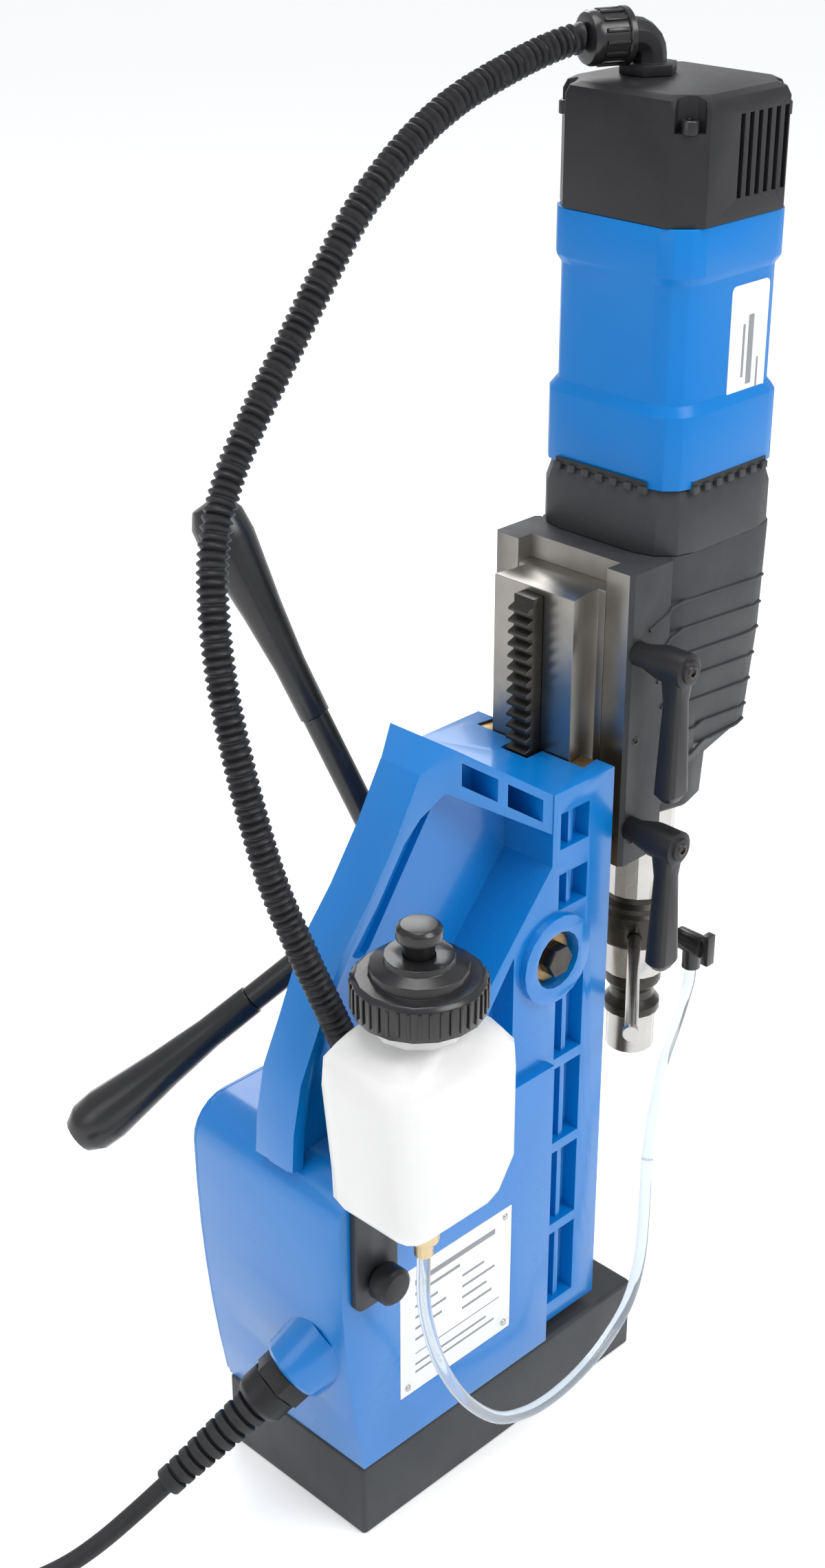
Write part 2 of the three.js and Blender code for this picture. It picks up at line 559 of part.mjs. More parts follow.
function gearboxHead() {
  const h = HEAD.half;
  const body = loft([
    { z: HOUSING.top + GAP, outline: square(h, h + 0.5, 22) },
    { z: HOUSING.top + 22, outline: square(h, h + 0.5, 22) },
    { z: motorBottom - GAP, outline: square(h - 2.5, h - 2, 22) },
  ]);
  const inside = rod("z", axisAt, 34, HOUSING.top - 1, motorBottom - 12, 18);
  const mouth = rod("z", axisAt, 7, HOUSING.top, motorBottom + 1, 16);
  return cut(body, inside, mouth);
}

function motorHousing() {
  const { half, waist, wall } = MOTOR;
  const ring = (h, z) => ({ z, outline: square(h, h - 0.8, 16) });
  const body = loft([ring(half, motorBottom), ring(half, motorBottom + 36), ring(waist, motorBottom + 41),
    ring(waist, motorBottom + 98), ring(waist + 2, motorBottom + 102), ring(waist + 2, topBottom - GAP)]);
  const inside = rod("z", axisAt, waist - wall, motorBottom + wall, topBottom + 1, 18);
  return cut(body, inside, rod("z", axisAt, 7, motorBottom - 1, motorBottom + wall + 1, 16));
}

// The cap over the brushes: chamfered corners with a ledge for each screw, and a row of slots either side.
function topCover() {
  const { halfX, halfY, chamfer, wall, slots, slotPitch, slotWidth } = TOP;
  const body = loft([
    { z: topBottom, outline: square(halfX, halfY, chamfer, 1) },
    { z: topFace - 6, outline: square(halfX, halfY, chamfer, 1) },
    { z: topFace - 2, outline: square(halfX - 1.5, halfY - 1.5, chamfer, 1) },
    { z: topFace, outline: square(halfX - 5, halfY - 5, chamfer, 1) },
  ]);
  const inside = prism("z", square(halfX - 14, halfY - wall, 10, 2), topBottom - 1, topFace - wall);
  const bay = block(-halfX + wall, halfX - wall, axisAt[1] - 38, axisAt[1] + 12, topBottom - 1,
    topFace - 8);
  const cuts = [inside, bay];
  for (const sx of [-1, 1]) {
    for (const sy of [-1, 1]) {
      const [x, y] = [sx * (halfX - 6), axisAt[1] + sy * (halfY - 6)];
      cuts.push(rod("z", [x, y], 7.5, topFace - 16, topFace + 1, 10));
    }
    for (let i = 0; i < slots; i += 1) {
      const y = axisAt[1] + 6 - slotPitch * i;
      const reach = sx < 0 ? [-halfX - 1, -halfX + wall + 1] : [halfX - wall - 1, halfX + 1];
      cuts.push(block(...reach, y - slotWidth / 2, y + slotWidth / 2, topBottom + 10, topFace - 10));
    }
  }
  return cut(body, ...cuts);
}

// The armature and the layshaft drive the spindle through two pairs of gears in the gearbox.
const motorPinionZ = HOUSING.top - 30;
const spindleGearZ = motorPinionZ - GEARS.width - 6;

function armature() {
  const core = rod("z", axisAt, 24, motorBottom + 22, motorBottom + 84, 16);
  const shaft = rod("z", axisAt, 4, motorPinionZ - 2, topBottom + 20, 14);
  const commutator = rod("z", axisAt, 13, motorBottom + 94, topBottom - 4, 16);
  const teeth = gearOutline(GEARS.motor, GEARS.module, GEARS.backlash, 1,
    Math.PI / 2 + Math.PI / GEARS.motor);
  const pinion = prism("z", shifted(teeth, axisAt), motorPinionZ, motorPinionZ + GEARS.width);
  return join(core, shaft, commutator, pinion);
}

function layshaft() {
  const driven = gearOutline(GEARS.layDriven, GEARS.module, GEARS.backlash, 1, -Math.PI / 2);
  const driver = gearOutline(GEARS.layDriver, GEARS.module, GEARS.backlash, 1, -Math.PI / 2);
  return join(
    prism("z", shifted(driven, layAt), motorPinionZ, motorPinionZ + GEARS.width),
    prism("z", shifted(driver, layAt), spindleGearZ, motorPinionZ + 1),
    rod("z", layAt, 3.5, spindleGearZ - 8, motorPinionZ + GEARS.width + 6, 14));
}

function spindle() {
  const [bottom, gearTop] = [sleeveBottom + GAP, spindleGearZ + GEARS.width];
  const { sleeve, shaft } = SPINDLE;
  const body = turned("z", axisAt, [[0, bottom], [sleeve - 1, bottom], [sleeve, bottom + 1],
    [sleeve, HOUSING.bottom + 40],
    [shaft, HOUSING.bottom + 41], [shaft, spindleGearZ + 1], [0, spindleGearZ + 1]], 18);
  const offset = Math.PI / 2 + Math.PI / GEARS.spindle;
  const teeth = gearOutline(GEARS.spindle, GEARS.module, GEARS.backlash, 1, offset);
  return join(body, prism("z", shifted(teeth, axisAt), spindleGearZ, gearTop));
}

function coolantCollar() {
  const { collar } = SPINDLE;
  const [low, high] = [collarBottom + GAP, sleeveBottom];
  const body = turned("z", axisAt, [[0, low], [collar - 1.5, low], [collar, low + 1.5], [collar, high - 10],
    [collar - 2, high - 8], [collar - 2, high - 5], [collar - 5, high - 3], [collar - 5, high],
      [0, high]], 18);
  return cut(body, rod("z", axisAt, SPINDLE.shaft + GAP, low - 1, high + 1, 16), stopRodSocket(),
    tapSocket());
}

const stopDirection = new THREE.Vector3(-62, 77, 0).normalize();
const stopRodLength = 97;
const stopRodHeight = collarBottom + 9;
const stopStart = 15;
const stopRodAt = new THREE.Vector3(axisAt[0], axisAt[1], stopRodHeight);
const stopRodSocket = () => aim(rod("z", [0, 0], 3.5 + GAP, stopStart - GAP, 40, 14), stopRodAt,
  stopDirection);
const stopRod = () => aim(
  turned("z", [0, 0], [[0, stopStart], [3.5, stopStart], [3.5, stopRodLength + 18],
    [4.5, stopRodLength + 18],
    [4.5, stopRodLength + 21], [0, stopRodLength + 21]], 16), stopRodAt, stopDirection);

const tapAt = [axisAt[1] - 3, collarBottom + 8];
const tapSocket = () => rod("x", tapAt, 4 + GAP, -SPINDLE.collar - 2, -SPINDLE.collar + 5, 14);

// A small valve screwed in the collar's side, with a push-in collet below it and a cross handle on its end.
function coolantTap() {
  const [y, z] = tapAt;
  const stem = rod("x", tapAt, 4, -44, -SPINDLE.collar + 5 - GAP, 14);
  const body = rod("x", tapAt, 6.2, -46, -29, 18);
  const collet = rod("z", [-38, y], 5.2, z - 15, z, 16);
  const handle = block(-51, -46.5, y - 3, y + 3, z - 9, z + 9);
  return join(stem, body, collet, handle, rod("x", tapAt, 3, -48, -45, 12));
}

function arbor() {
  const [low, high] = [bandBottom + GAP, sleeveBottom];
  return turned("z", axisAt, [[0, low], [CHUCK.band - 1, low], [CHUCK.band, low + 1],
    [CHUCK.band, collarBottom - 1],
    [CHUCK.band - 1, collarBottom], [SPINDLE.shaft, collarBottom], [SPINDLE.shaft, high], [0, high]], 18);
}

// The quick-change sleeve and the steel nose below it are one turned piece, bored for the cutter's shank.
function chuckSleeve() {
  const { waist, nose, bore, boreDepth } = CHUCK;
  const top = bandBottom;
  return turned("z", axisAt, [[bore, noseBottom], [nose - 1, noseBottom], [nose, noseBottom + 1],
    [nose, waistBottom],
    [waist, waistBottom], [waist, waistBottom + 5], [waist - 3.5, waistBottom + 9],
      [waist - 3.5, waistBottom + 14],
    [waist, top - 7], [waist, top], [0, top], [0, noseBottom + boreDepth],
      [bore, noseBottom + boreDepth - 3],
    [bore, noseBottom]], 18);
}

function clampLever(height) {
  const start = -HOUSING.halfWidth;
  const end = start - 5 - CLAMP.hubLength;
  const [y, z] = [CLAMP.y + 4.2, height];
  const hub = turned("x", [y, z], [[0, end], [6, end], [6, end + 1.5], [CLAMP.hub, end + 2],
    [CLAMP.hub, end + 17],
    [6.2, start - 6], [6.2, start - GAP], [0, start - GAP]], 18);
  const screw = rod("x", [y, z], CLAMP.screw, start - 2, -BAR.halfTongue - 2 * GAP, 14);
  const x = end + 9;
  const bar = loft([
    { z: z - CLAMP.drop, outline: softRectangle(x - 4, x + 4, y - 5, y + 5, 3, 2) },
    { z: z - CLAMP.drop + 4, outline: softRectangle(x - 6, x + 6, y - 8.5, y + 8.5, 4, 2) },
    { z: z - 18, outline: softRectangle(x - 5, x + 5, y - 6, y + 6, 3.5, 2) },
    { z, outline: softRectangle(x - 6.5, x + 6.5, y - 8, y + 8, 4, 2) },
  ]);
  return join(hub, screw, bar);
}

// ---------------------------------------------------------------- conduit between motor and stand
const nutZ = topFace + CONDUIT.elbowRise;
const elbowAt = new THREE.Vector3(CONDUIT.elbowX, SPINDLE_AXIS.y, nutZ);
const heading = new THREE.Vector3(Math.cos(radians(CONDUIT.heading)), Math.sin(radians(CONDUIT.heading)),
  0);
const alongHeading = (distance, drop = 0) =>
  elbowAt.clone().addScaledVector(heading, distance).setZ(nutZ - drop).toArray();

function conduitElbow() {
  const z = topFace + GAP;
  const hex = rod("z", [elbowAt.x, elbowAt.y], 14.4, z, z + 4.9, 6);
  const r = CONDUIT.bend;
  const bend = Array.from({ length: 7 }, (_, i) =>
    alongHeading(r - r * Math.cos(radians(15 * i)), r - r * Math.sin(radians(15 * i))));
  const pipe = tube([[elbowAt.x, elbowAt.y, z], ...bend, alongHeading(CONDUIT.nutStart - GAP)], 8.6, 10, 9);
  return join(hex, pipe);
}

function conduitNut() {
  const { nutStart, nutEnd } = CONDUIT;
  const profile = [[0, nutStart], [11.4, nutStart], [12.2, nutStart + 1], [12.2, nutEnd - 6],
    [9.5, nutEnd], [0, nutEnd]];
  return aim(turned("z", [0, 0], profile, 18), elbowAt, heading);
}

const conduitGlandAt = [-boxHalf + CONDUIT.glandInset, CONDUIT.glandY];
const conduitGlandTop = boxTop + GAP + 22;

function conduitGland() {
  const z = boxTop + GAP;
  const collar = [[0, z], [12, z], [12, z + 18], [9.5, conduitGlandTop], [0, conduitGlandTop]];
  return join(rod("z", conduitGlandAt, 14.4, z, z + 6, 6), turned("z", conduitGlandAt, collar, 18));
}

// A point on a cord near the place where its two halves meet, a distance along their common direction.
const passing = ({ at, along }, distance) => at.map((value, i) => value + along[i] * distance);

// The conduit rises off the motor, bows out behind the press and drops into the box's lid.
const conduitMeet = { at: [28, 107, 534], along: [-0.2, 0.48, -0.85] };
const conduitUpperRoute = [alongHeading(CONDUIT.nutEnd + 2 * GAP), alongHeading(CONDUIT.nutEnd + 5),
  [36.5, -106, 702], [40, -82, 695], [42, -52, 685], [42, -22, 670], [41, 8, 648], [40, 31, 623],
  [38, 54, 597], [35, 76, 574], [32, 94, 553], passing(conduitMeet, -5), passing(conduitMeet, 0)];
const conduitLowerRoute = [passing(conduitMeet, 2 * GAP), passing(conduitMeet, 5), [23, 116, 514],
  [17, 121, 490], [11, 123, 463], [4, 123, 435],
  [-3, 121, 405], [-11, 117, 372], [-20, 110, 340], [-28, 101, 308], [-32.5, 90, 276],
  [-34, 83, 260], [...conduitGlandAt, conduitGlandTop + 4], [...conduitGlandAt, conduitGlandTop + 2 * GAP]];
const conduitUpper = () => tube(conduitUpperRoute, CONDUIT.radius, 8, 14);
const conduitLower = () => tube(conduitLowerRoute, CONDUIT.radius, 8, 13);

// ---------------------------------------------------------------- coolant bottle
const bottleAt = [-boxHalf - BOTTLE.standOff, BOTTLE.y];
const neckTop = BOTTLE.z + BOTTLE.height + 21;
const capBottom = BOTTLE.z + BOTTLE.height + 9;
const capStep = capBottom + CAP.height;
const capCrown = capStep + 10;

// Each section names how far the four walls stand in from the bottle's box, at a height above its floor.
function bottleBody(inset) {
  const [x, y] = bottleAt;
  const { z, width, depth, shoulder, height, neck } = BOTTLE;
  const at = (up, side, front, rear, r) => ({
    z: z + up,
    outline: softRectangle(x - width / 2 + side + inset, x + width / 2 - side - inset,
      y - depth / 2 + front + inset, y + depth / 2 - rear - inset, r, 3),
  });
  const ring = (up) => {
    const r = neck - 2 - inset;
    return { z: z + up, outline: softRectangle(x - r, x + r, y - r, y + r, r - 0.01, 3) };
  };
  return loft([at(inset, 4, 13, 9, 9), at(5 + inset / 2, 1, 10, 6, 12), at(21, 0, 0, 5, 14),
    at(shoulder - 10, 0, 0, 0, 14),
    at(shoulder, 0.5, 0.5, 0.5, 14), at(shoulder + 6 - inset / 2, 3, 4, 4, 17), ring(height - inset),
      ring(height + 21 + inset)]);
}

const bottle = () => cut(bottleBody(0), bottleBody(BOTTLE.wall));

function bottleCap() {
  const { radius, step, crown, nozzle } = CAP;
  const inner = BOTTLE.neck - 1;
  return turned("z", bottleAt, [[inner, capBottom], [radius, capBottom], [radius, capStep - 2],
    [radius - 2, capStep],
    [step, capStep], [step, capStep + 5], [crown, capStep + 7], [crown, capCrown], [nozzle + GAP, capCrown],
    [nozzle + GAP, capCrown - 5.8], [0, capCrown - 5.8], [0, neckTop + 2.6], [inner, neckTop + 2.6],
      [inner, capBottom]], 18);
}

function bottleNozzle() {
  const { nozzle, nozzleFlange } = CAP;
  const [low, top] = [capCrown - 0.5, capCrown + 15];
  return turned("z", bottleAt, [[0, low], [nozzle, low], [nozzle, capCrown + 7],
    [nozzleFlange, capCrown + 8],
    [nozzleFlange, top - 2], [nozzleFlange - 2, top], [0, top]], 18);
}

const bracketBack = -boxHalf - GAP;
const bracketFace = bracketBack - 3.6;
const knobAt = [97, 165];

function bottleBracket() {
  const outline = softRectangle(84, 112, 150, BOTTLE.z + 70, 5, 3);
  return prism("x", outline, bracketFace, bracketBack, [circle(...knobAt, 4 + GAP, 16)]);
}

function bracketKnob() {
  const face = bracketFace - GAP;
  return turned("x", knobAt, [[0, face - 13], [8, face - 13], [10, face - 11], [10, face - 3], [7, face],
    [4, face],
    [4, bracketBack], [0, bracketBack]], 18);
}

const outletAt = [bottleAt[0], BOTTLE.y - 3];
const outletBottom = BOTTLE.z - 35;

const outletFitting = () => turned("z", outletAt, [[0, outletBottom], [4.6, outletBottom],
  [4.6, outletBottom + 8],
  [7.5, outletBottom + 9], [7.5, BOTTLE.z - 12], [9, BOTTLE.z - 10], [9, BOTTLE.z - GAP],
    [0, BOTTLE.z - GAP]], 16);

// The clear hose hangs from the bottle in one long loop beside the stand and rises to the collar's valve.
const hoseMeet = { at: [-61, -101, 134], along: [0.15, -0.3, 0.94] };
const hoseLowerRoute = [[...outletAt, outletBottom - GAP], [-86, 97, 170], [-86, 93, 147], [-85, 83, 118],
  [-83, 64, 84], [-80, 38, 54], [-78, 14, 40], [-76, -9, 34], [-74, -34, 34], [-72, -58, 40],
  [-70, -79, 54], [-68, -90, 76], [-64, -97, 105], passing(hoseMeet, -4), passing(hoseMeet, 0)];
const hoseUpperRoute = [passing(hoseMeet, 2 * GAP), passing(hoseMeet, 4), [-57, -109, 155],
  [-50, -126, 182], [-43, -146, 200],
  [-38.6, -158, 211], [-38, tapAt[0], tapAt[1] - 15 - 3], [-38, tapAt[0], tapAt[1] - 15 - 2 * GAP]];
const coolantHoseLower = () => tube(hoseLowerRoute, HOSE.radius, 8, 22);
const coolantHoseUpper = () => tube(hoseUpperRoute, HOSE.radius, 8, 9);

// ---------------------------------------------------------------- mains cord
const glandPoint = (along) => glandFoot.clone().addScaledVector(glandDir, along);
const hexEnd = 22;
const nutEnd = 36;
const reliefEnd = nutEnd + GAP + GLAND.relief;

const mainsGland = () =>
  aim(rod("z", [0, 0], GLAND.hex / Math.cos(Math.PI / 6), 12 + GAP, hexEnd, 6), glandFoot, glandDir);

const mainsGlandNut = () => aim(turned("z", [0, 0], [[0, hexEnd + GAP], [14, hexEnd + GAP],
  [14, nutEnd - 3],
  [12, nutEnd], [0, nutEnd]], 18), glandFoot, glandDir);

function strainRelief() {
  const ribs = 6;
  const start = nutEnd + GAP;
  const pitch = GLAND.relief / ribs;
  const radius = (along) => THREE.MathUtils.lerp(9.5, 6.4, along / GLAND.relief);
  const profile = [[0, start]];
  for (let i = 0; i < ribs; i += 1) {
    const from = pitch * i;
    profile.push([radius(from) + 1.6, start + from], [radius(from) + 1.6, start + from + pitch * 0.5],
      [radius(from) - 0.8, start + from + pitch * 0.55], [radius(from) - 0.8, start + from + pitch * 0.95]);
  }
  profile.push([radius(GLAND.relief), reliefEnd], [0, reliefEnd]);
  return aim(turned("z", [0, 0], profile, 12), glandFoot, glandDir);
}

const mainsRoute = [glandPoint(reliefEnd + GAP).toArray(), glandPoint(reliefEnd + 24).toArray(),
  [25, 216, 19.5], [32, 232, 11], [40, 251, 6.6], [48, 273, 5], [56.5, 300, 5]];
const mainsCord = () => tube(mainsRoute, MAINS.radius, 8, 10);

const plugZ = MAINS.plug + GAP;
const plugX = -66;
const plugStart = 290;

// The spare cord is wound in a flat ring, and its free end runs straight off the ring to the plug.
function mainsCoil() {
  const { coilInner, coilOuter, coilLift, coilHeight, coil, radius } = MAINS;
  const ring = turned("z", coil, [[coilInner, coilLift], [coilOuter, coilLift],
    [coilOuter, coilLift + coilHeight],
    [coilInner, coilLift + coilHeight], [coilInner, coilLift]], 18);
  const z = coilLift + coilHeight - radius;
  const tail = tube([[plugX, coil[1] - 6, z], [plugX, coil[1] - 30, z], [plugX, 305, z + 1.2],
    [plugX, plugStart, plugZ]], radius, 8, 4);
  return join(ring, tail);
}

function coilTie() {
  const { coilInner, coilOuter, coilLift, coilHeight, coil } = MAINS;
  const [inner, outer] = [coilInner - 1.2, coilOuter + 0.4];
  const hole = rectangle(inner, outer, coilLift - GAP, coilLift + coilHeight + GAP);
  const band = prism("y", rectangle(inner - 1.2, outer + 1.2, 0, coilLift + coilHeight + 1.5), -6, 6,
    [hole]);
  return band.rotateZ(radians(60)).translate(coil[0], coil[1], 0);
}

function mainsPlug() {
  const start = plugStart - GAP;
  const r = MAINS.plug;
  const body = turned("y", [plugX, plugZ], [[0, start - 56], [r - 1, start - 56], [r, start - 54],
    [r, start - 30],
    [r - 5, start - 22], [8, start - 18], [6.6, start], [0, start]], 18);
  const pins = [-9.5, 9.5].map((x) => rod("y", [plugX + x, plugZ], 2.4, start - 75, start - 55, 12));
  return join(body, ...pins);
}

// ---------------------------------------------------------------- switches in the cover
const switches = { rocker: 72, start: 42, stop: 12 };
const rockerHalf = { along: 7, up: 13 };

function coverWithSwitchHoles() {
  const z = BUTTON.z;
  const reach = [boxHalf - 1, coverFace + 1];
  const holes = [switches.start, switches.stop].map((y) => rod("x", [y, z], 5 + GAP, ...reach, 16));
  const slot = block(...reach, switches.rocker - rockerHalf.along - 2 * GAP,
    switches.rocker + rockerHalf.along + 2 * GAP,
    z - rockerHalf.up - 1.6, z + rockerHalf.up + 1.6);
  return cut(controlCover(), ...holes, slot);
}

function magnetSwitch() {
  const z = BUTTON.z;
  const f = coverFace;
  const outline = [[f + 4, z + 12], [f + 2.4, z], [f + 4, z - 12], [f - 1, z - 13], [f - 7, z - 8],
    [f - 7, z + 8], [f - 1, z + 13]];
  return prism("y", outline, switches.rocker - rockerHalf.along, switches.rocker + rockerHalf.along);
}

function pushButton(y, radius) {
  const [face, clear] = [coverFace, BUTTON.travel + 2 * GAP];
  return turned("x", [y, BUTTON.z], [[0, face - 14], [5, face - 14], [5, face + clear],
    [radius, face + clear],
    [radius, face + clear + 4], [radius - 1.5, face + clear + 6], [0, face + clear + 6]], 18);
}

const magnetCoil = () => coilRing(GAP, 0.6, MAGNET.coilDepth - GAP);

// ---------------------------------------------------------------- materials
const material = (color, roughness, metalness) => new THREE.MeshStandardMaterial({ color, roughness,
  metalness });
const bluePaint = () => material(0x0a5fc4, 0.3, 0);
const darkSatin = () => material(0x2a2c2f, 0.5, 0.2);
const castGrey = () => material(0x303236, 0.6, 0.1);
const blackPlastic = () => material(0x161719, 0.45, 0);
const blackRubber = () => material(0x121212, 0.75, 0);
const steel = () => material(0xb4b3ae, 0.32, 1);
const machined = () => material(0x8c8a84, 0.4, 1);
const oiledSteel = () => material(0x3a3835, 0.35, 0.9);
const bronze = () => material(0xa8874e, 0.4, 0.9);
const milkyPlastic = () => material(0xf2f2ee, 0.4, 0);
const whiteEnamel = () => material(0xf4f4f2, 0.35, 0);
const clearHose = () => material(0xdfe6ea, 0.15, 0);
const copper = () => material(0x9a5a32, 0.4, 0.8);
const greenPlastic = () => material(0x1f8f3a, 0.4, 0);
const redPlastic = () => material(0xc01f1f, 0.4, 0);
const boardGreen = () => material(0x1d6b3c, 0.5, 0);

// ---------------------------------------------------------------- the scene
function piece(name, shape, finish) {
  const geometry = geometryOf(solid(shape));
  geometry.computeVertexNormals();
  const mesh = new THREE.Mesh(geometry, finish);
  mesh.name = name;
  return mesh;
}

function gathered(...meshes) {
  const group = new THREE.Group();
  group.add(...meshes);
  return group;
}

const numbered = [0, 1, 2];

const stand = gathered(
  piece("magnet_base", magnetBase(), darkSatin()),
  piece("magnet_coil", magnetCoil(), copper()),
  piece("stand_casting", standCasting(), bluePaint()),
  piece("control_cover", coverWithSwitchHoles(), bluePaint()),
  piece("control_board", controlBoard(), boardGreen()),
  piece("nameplate", nameplate(), whiteEnamel()),
  piece("gib_left", gib(-1), bronze()),
  piece("gib_right", gib(1), bronze()),
  piece("pinion_bush_left", pinionBush(bushEnd.left, -bushInner), steel()),
  piece("pinion_bush_right", pinionBush(bushInner, bushEnd.right), steel()),
  piece("conduit_gland", conduitGland(), blackPlastic()),
  piece("conduit_lower", conduitLower(), blackPlastic()),
  piece("bottle", bottle(), milkyPlastic()),
  piece("bottle_bracket", bottleBracket(), blackPlastic()),
  piece("outlet_fitting", outletFitting(), bronze()),
  piece("coolant_hose_lower", coolantHoseLower(), clearHose()),
  piece("mains_gland", mainsGland(), blackPlastic()),
  piece("mains_gland_nut", mainsGlandNut(), blackPlastic()),
  piece("strain_relief", strainRelief(), blackRubber()),
  piece("mains_cord", mainsCord(), blackRubber()),
  piece("mains_coil", mainsCoil(), blackRubber()),
  piece("coil_tie", coilTie(), blackPlastic()),
  piece("mains_plug", mainsPlug(), blackPlastic()),
);

const controls = gathered(
  piece("magnet_switch", magnetSwitch(), redPlastic()),
  piece("start_button", pushButton(switches.start, BUTTON.radius), greenPlastic()),
  piece("stop_button", pushButton(switches.stop, BUTTON.radius + 2), redPlastic()),
  piece("bottle_cap", bottleCap(), blackPlastic()),
  piece("bottle_nozzle", bottleNozzle(), blackPlastic()),
  piece("bracket_knob", bracketKnob(), blackPlastic()),
);

const feed = gathered(
  piece("pinion_shaft", pinionShaft(), steel()),
  piece("pinion_gear", pinionGear(), oiledSteel()),
  piece("shaft_washer", shaftWasher(), steel()),
  piece("shaft_bolt", shaftBolt(), oiledSteel()),
  piece("feed_hub", feedHub(), darkSatin()),
  ...numbered.map((i) => piece(`feed_rod_${i + 1}`, feedRod(i), darkSatin())),
  ...numbered.map((i) => piece(`feed_grip_${i + 1}`, feedGrip(i), blackRubber())),
);

const slide = gathered(piece("slide_bar", slideBar(), machined()), piece("rack", rack(), oiledSteel()));

const head = gathered(
  piece("gear_housing", gearHousing(), castGrey()),
  piece("gearbox_head", gearboxHead(), castGrey()),
  piece("motor_housing", motorHousing(), bluePaint()),
  piece("top_cover", topCover(), blackPlastic()),
  piece("conduit_elbow", conduitElbow(), blackPlastic()),
  piece("conduit_nut", conduitNut(), blackPlastic()),
  piece("conduit_upper", conduitUpper(), blackPlastic()),
  piece("coolant_collar", coolantCollar(), blackPlastic()),
  piece("stop_rod", stopRod(), steel()),
  piece("coolant_tap", coolantTap(), blackPlastic()),
  piece("coolant_hose_upper", coolantHoseUpper(), clearHose()),
  piece("clamp_lever_upper", clampLever(CLAMP.upper), blackPlastic()),
  piece("clamp_lever_lower", clampLever(CLAMP.lower), blackPlastic()),
);

const driveTrain = gathered(
  piece("armature", armature(), copper()),
  piece("layshaft", layshaft(), steel()),
  piece("spindle", spindle(), steel()),
  piece("arbor", arbor(), steel()),
  piece("chuck_sleeve", chuckSleeve(), oiledSteel()),
);

const press = new THREE.Group();
press.name = "magnetic_drill_press";
press.add(stand, controls, feed, slide, head, driveTrain);

export default press;
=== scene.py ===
"""Looks for a magnetic drill press: painted castings, steel, moulded plastic, a bottle and cords."""

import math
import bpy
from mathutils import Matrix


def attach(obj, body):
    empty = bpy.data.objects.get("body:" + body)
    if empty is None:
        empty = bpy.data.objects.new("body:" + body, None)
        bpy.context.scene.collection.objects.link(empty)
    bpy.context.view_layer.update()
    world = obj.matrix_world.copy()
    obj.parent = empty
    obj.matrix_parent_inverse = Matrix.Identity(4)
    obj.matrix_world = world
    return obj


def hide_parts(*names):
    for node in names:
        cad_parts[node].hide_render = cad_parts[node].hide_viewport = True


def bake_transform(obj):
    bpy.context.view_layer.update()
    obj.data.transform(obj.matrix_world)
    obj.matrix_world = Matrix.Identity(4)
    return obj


bl_info = {
    "name": "Magnetic drill press",
    "version": (1, 0, 0),
    "blender": (4, 5, 0),
    "location": "View3D > Sidebar > Drill Press",
    "description": "Models the finished pieces of a magnetic drill press around its packed frame",
    "category": "Object",
}

import bmesh
import bpy
from mathutils import Matrix, Vector

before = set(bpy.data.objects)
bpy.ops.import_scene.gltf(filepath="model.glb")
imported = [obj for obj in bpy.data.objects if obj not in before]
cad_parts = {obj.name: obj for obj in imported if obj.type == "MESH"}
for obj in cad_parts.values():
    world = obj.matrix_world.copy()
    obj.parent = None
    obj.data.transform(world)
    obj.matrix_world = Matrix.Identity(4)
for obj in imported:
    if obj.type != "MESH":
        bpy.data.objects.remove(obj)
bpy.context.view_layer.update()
MM = 0.001
SPINDLE_Y = -157
BOTTLE_AXIS = (-86, 100)


# ---------------------------------------------------------------- modelling helpers
def mm(x, y, z):
    """A point given in millimetres."""
    return Vector((x, y, z)) * MM


def rest():
    """Leaves edit mode and deselects everything."""
    if bpy.context.mode != "OBJECT":
        bpy.ops.object.mode_set(mode="OBJECT")
    bpy.ops.object.select_all(action="DESELECT")


def pick(obj, *others):
    """Selects some pieces, with the first one active."""
    rest()
    for each in (obj, *others):
        each.select_set(True)
    bpy.context.view_layer.objects.active = obj


def settle(obj):
    """Puts a piece's place, turn and size into its mesh."""
    pick(obj)
    bpy.ops.object.transform_apply(location=True, rotation=True, scale=True)
    return obj


def outward(obj):
    """Merges doubled corners and points every face out."""
    pick(obj)
    bpy.ops.object.mode_set(mode="EDIT")
    bpy.ops.mesh.select_all(action="SELECT")
    bpy.ops.mesh.remove_doubles(threshold=1e-6)
    bpy.ops.mesh.normals_make_consistent(inside=False)
    bpy.ops.object.mode_set(mode="OBJECT")
    return obj


def apply_modifier(obj, modifier):
    """Applies one modifier of a piece."""
    pick(obj)
    bpy.ops.object.modifier_apply(modifier=modifier.name)
    return obj


def soften(obj, width=0.6, segments=2, angle=32):
    """Rounds a piece's edges by a width in millimetres and shades it smooth between them."""
    if width:
        bevel = obj.modifiers.new("edges", "BEVEL")
        bevel.width = width * MM
        bevel.segments = segments
        bevel.limit_method = "ANGLE"
        bevel.angle_limit = math.radians(angle)
        bevel.harden_normals = False
        apply_modifier(obj, bevel)
    pick(obj)
    bpy.ops.object.shade_smooth_by_angle(angle=math.radians(angle))
    return obj


def ring(cx, cy, radius, z, count=40):
    """A circle of points round an upright axis."""
    turns = [2 * math.pi * i / count for i in range(count)]
    return [mm(cx + radius * math.cos(turn), cy + radius * math.sin(turn), z) for turn in turns]


def soft_ring(cx, cy, hx, hy, radius, z, corner=8):
    """A rectangle of points with round corners, given by its half sizes."""
    points = []
    for k, (sx, sy) in enumerate(((1, 1), (-1, 1), (-1, -1), (1, -1))):
        for i in range(corner + 1):
            turn = math.pi / 2 * (k + i / corner)
            points.append(mm(cx + sx * (hx - radius) + radius * math.cos(turn),
                             cy + sy * (hy - radius) + radius * math.sin(turn), z))
    return points


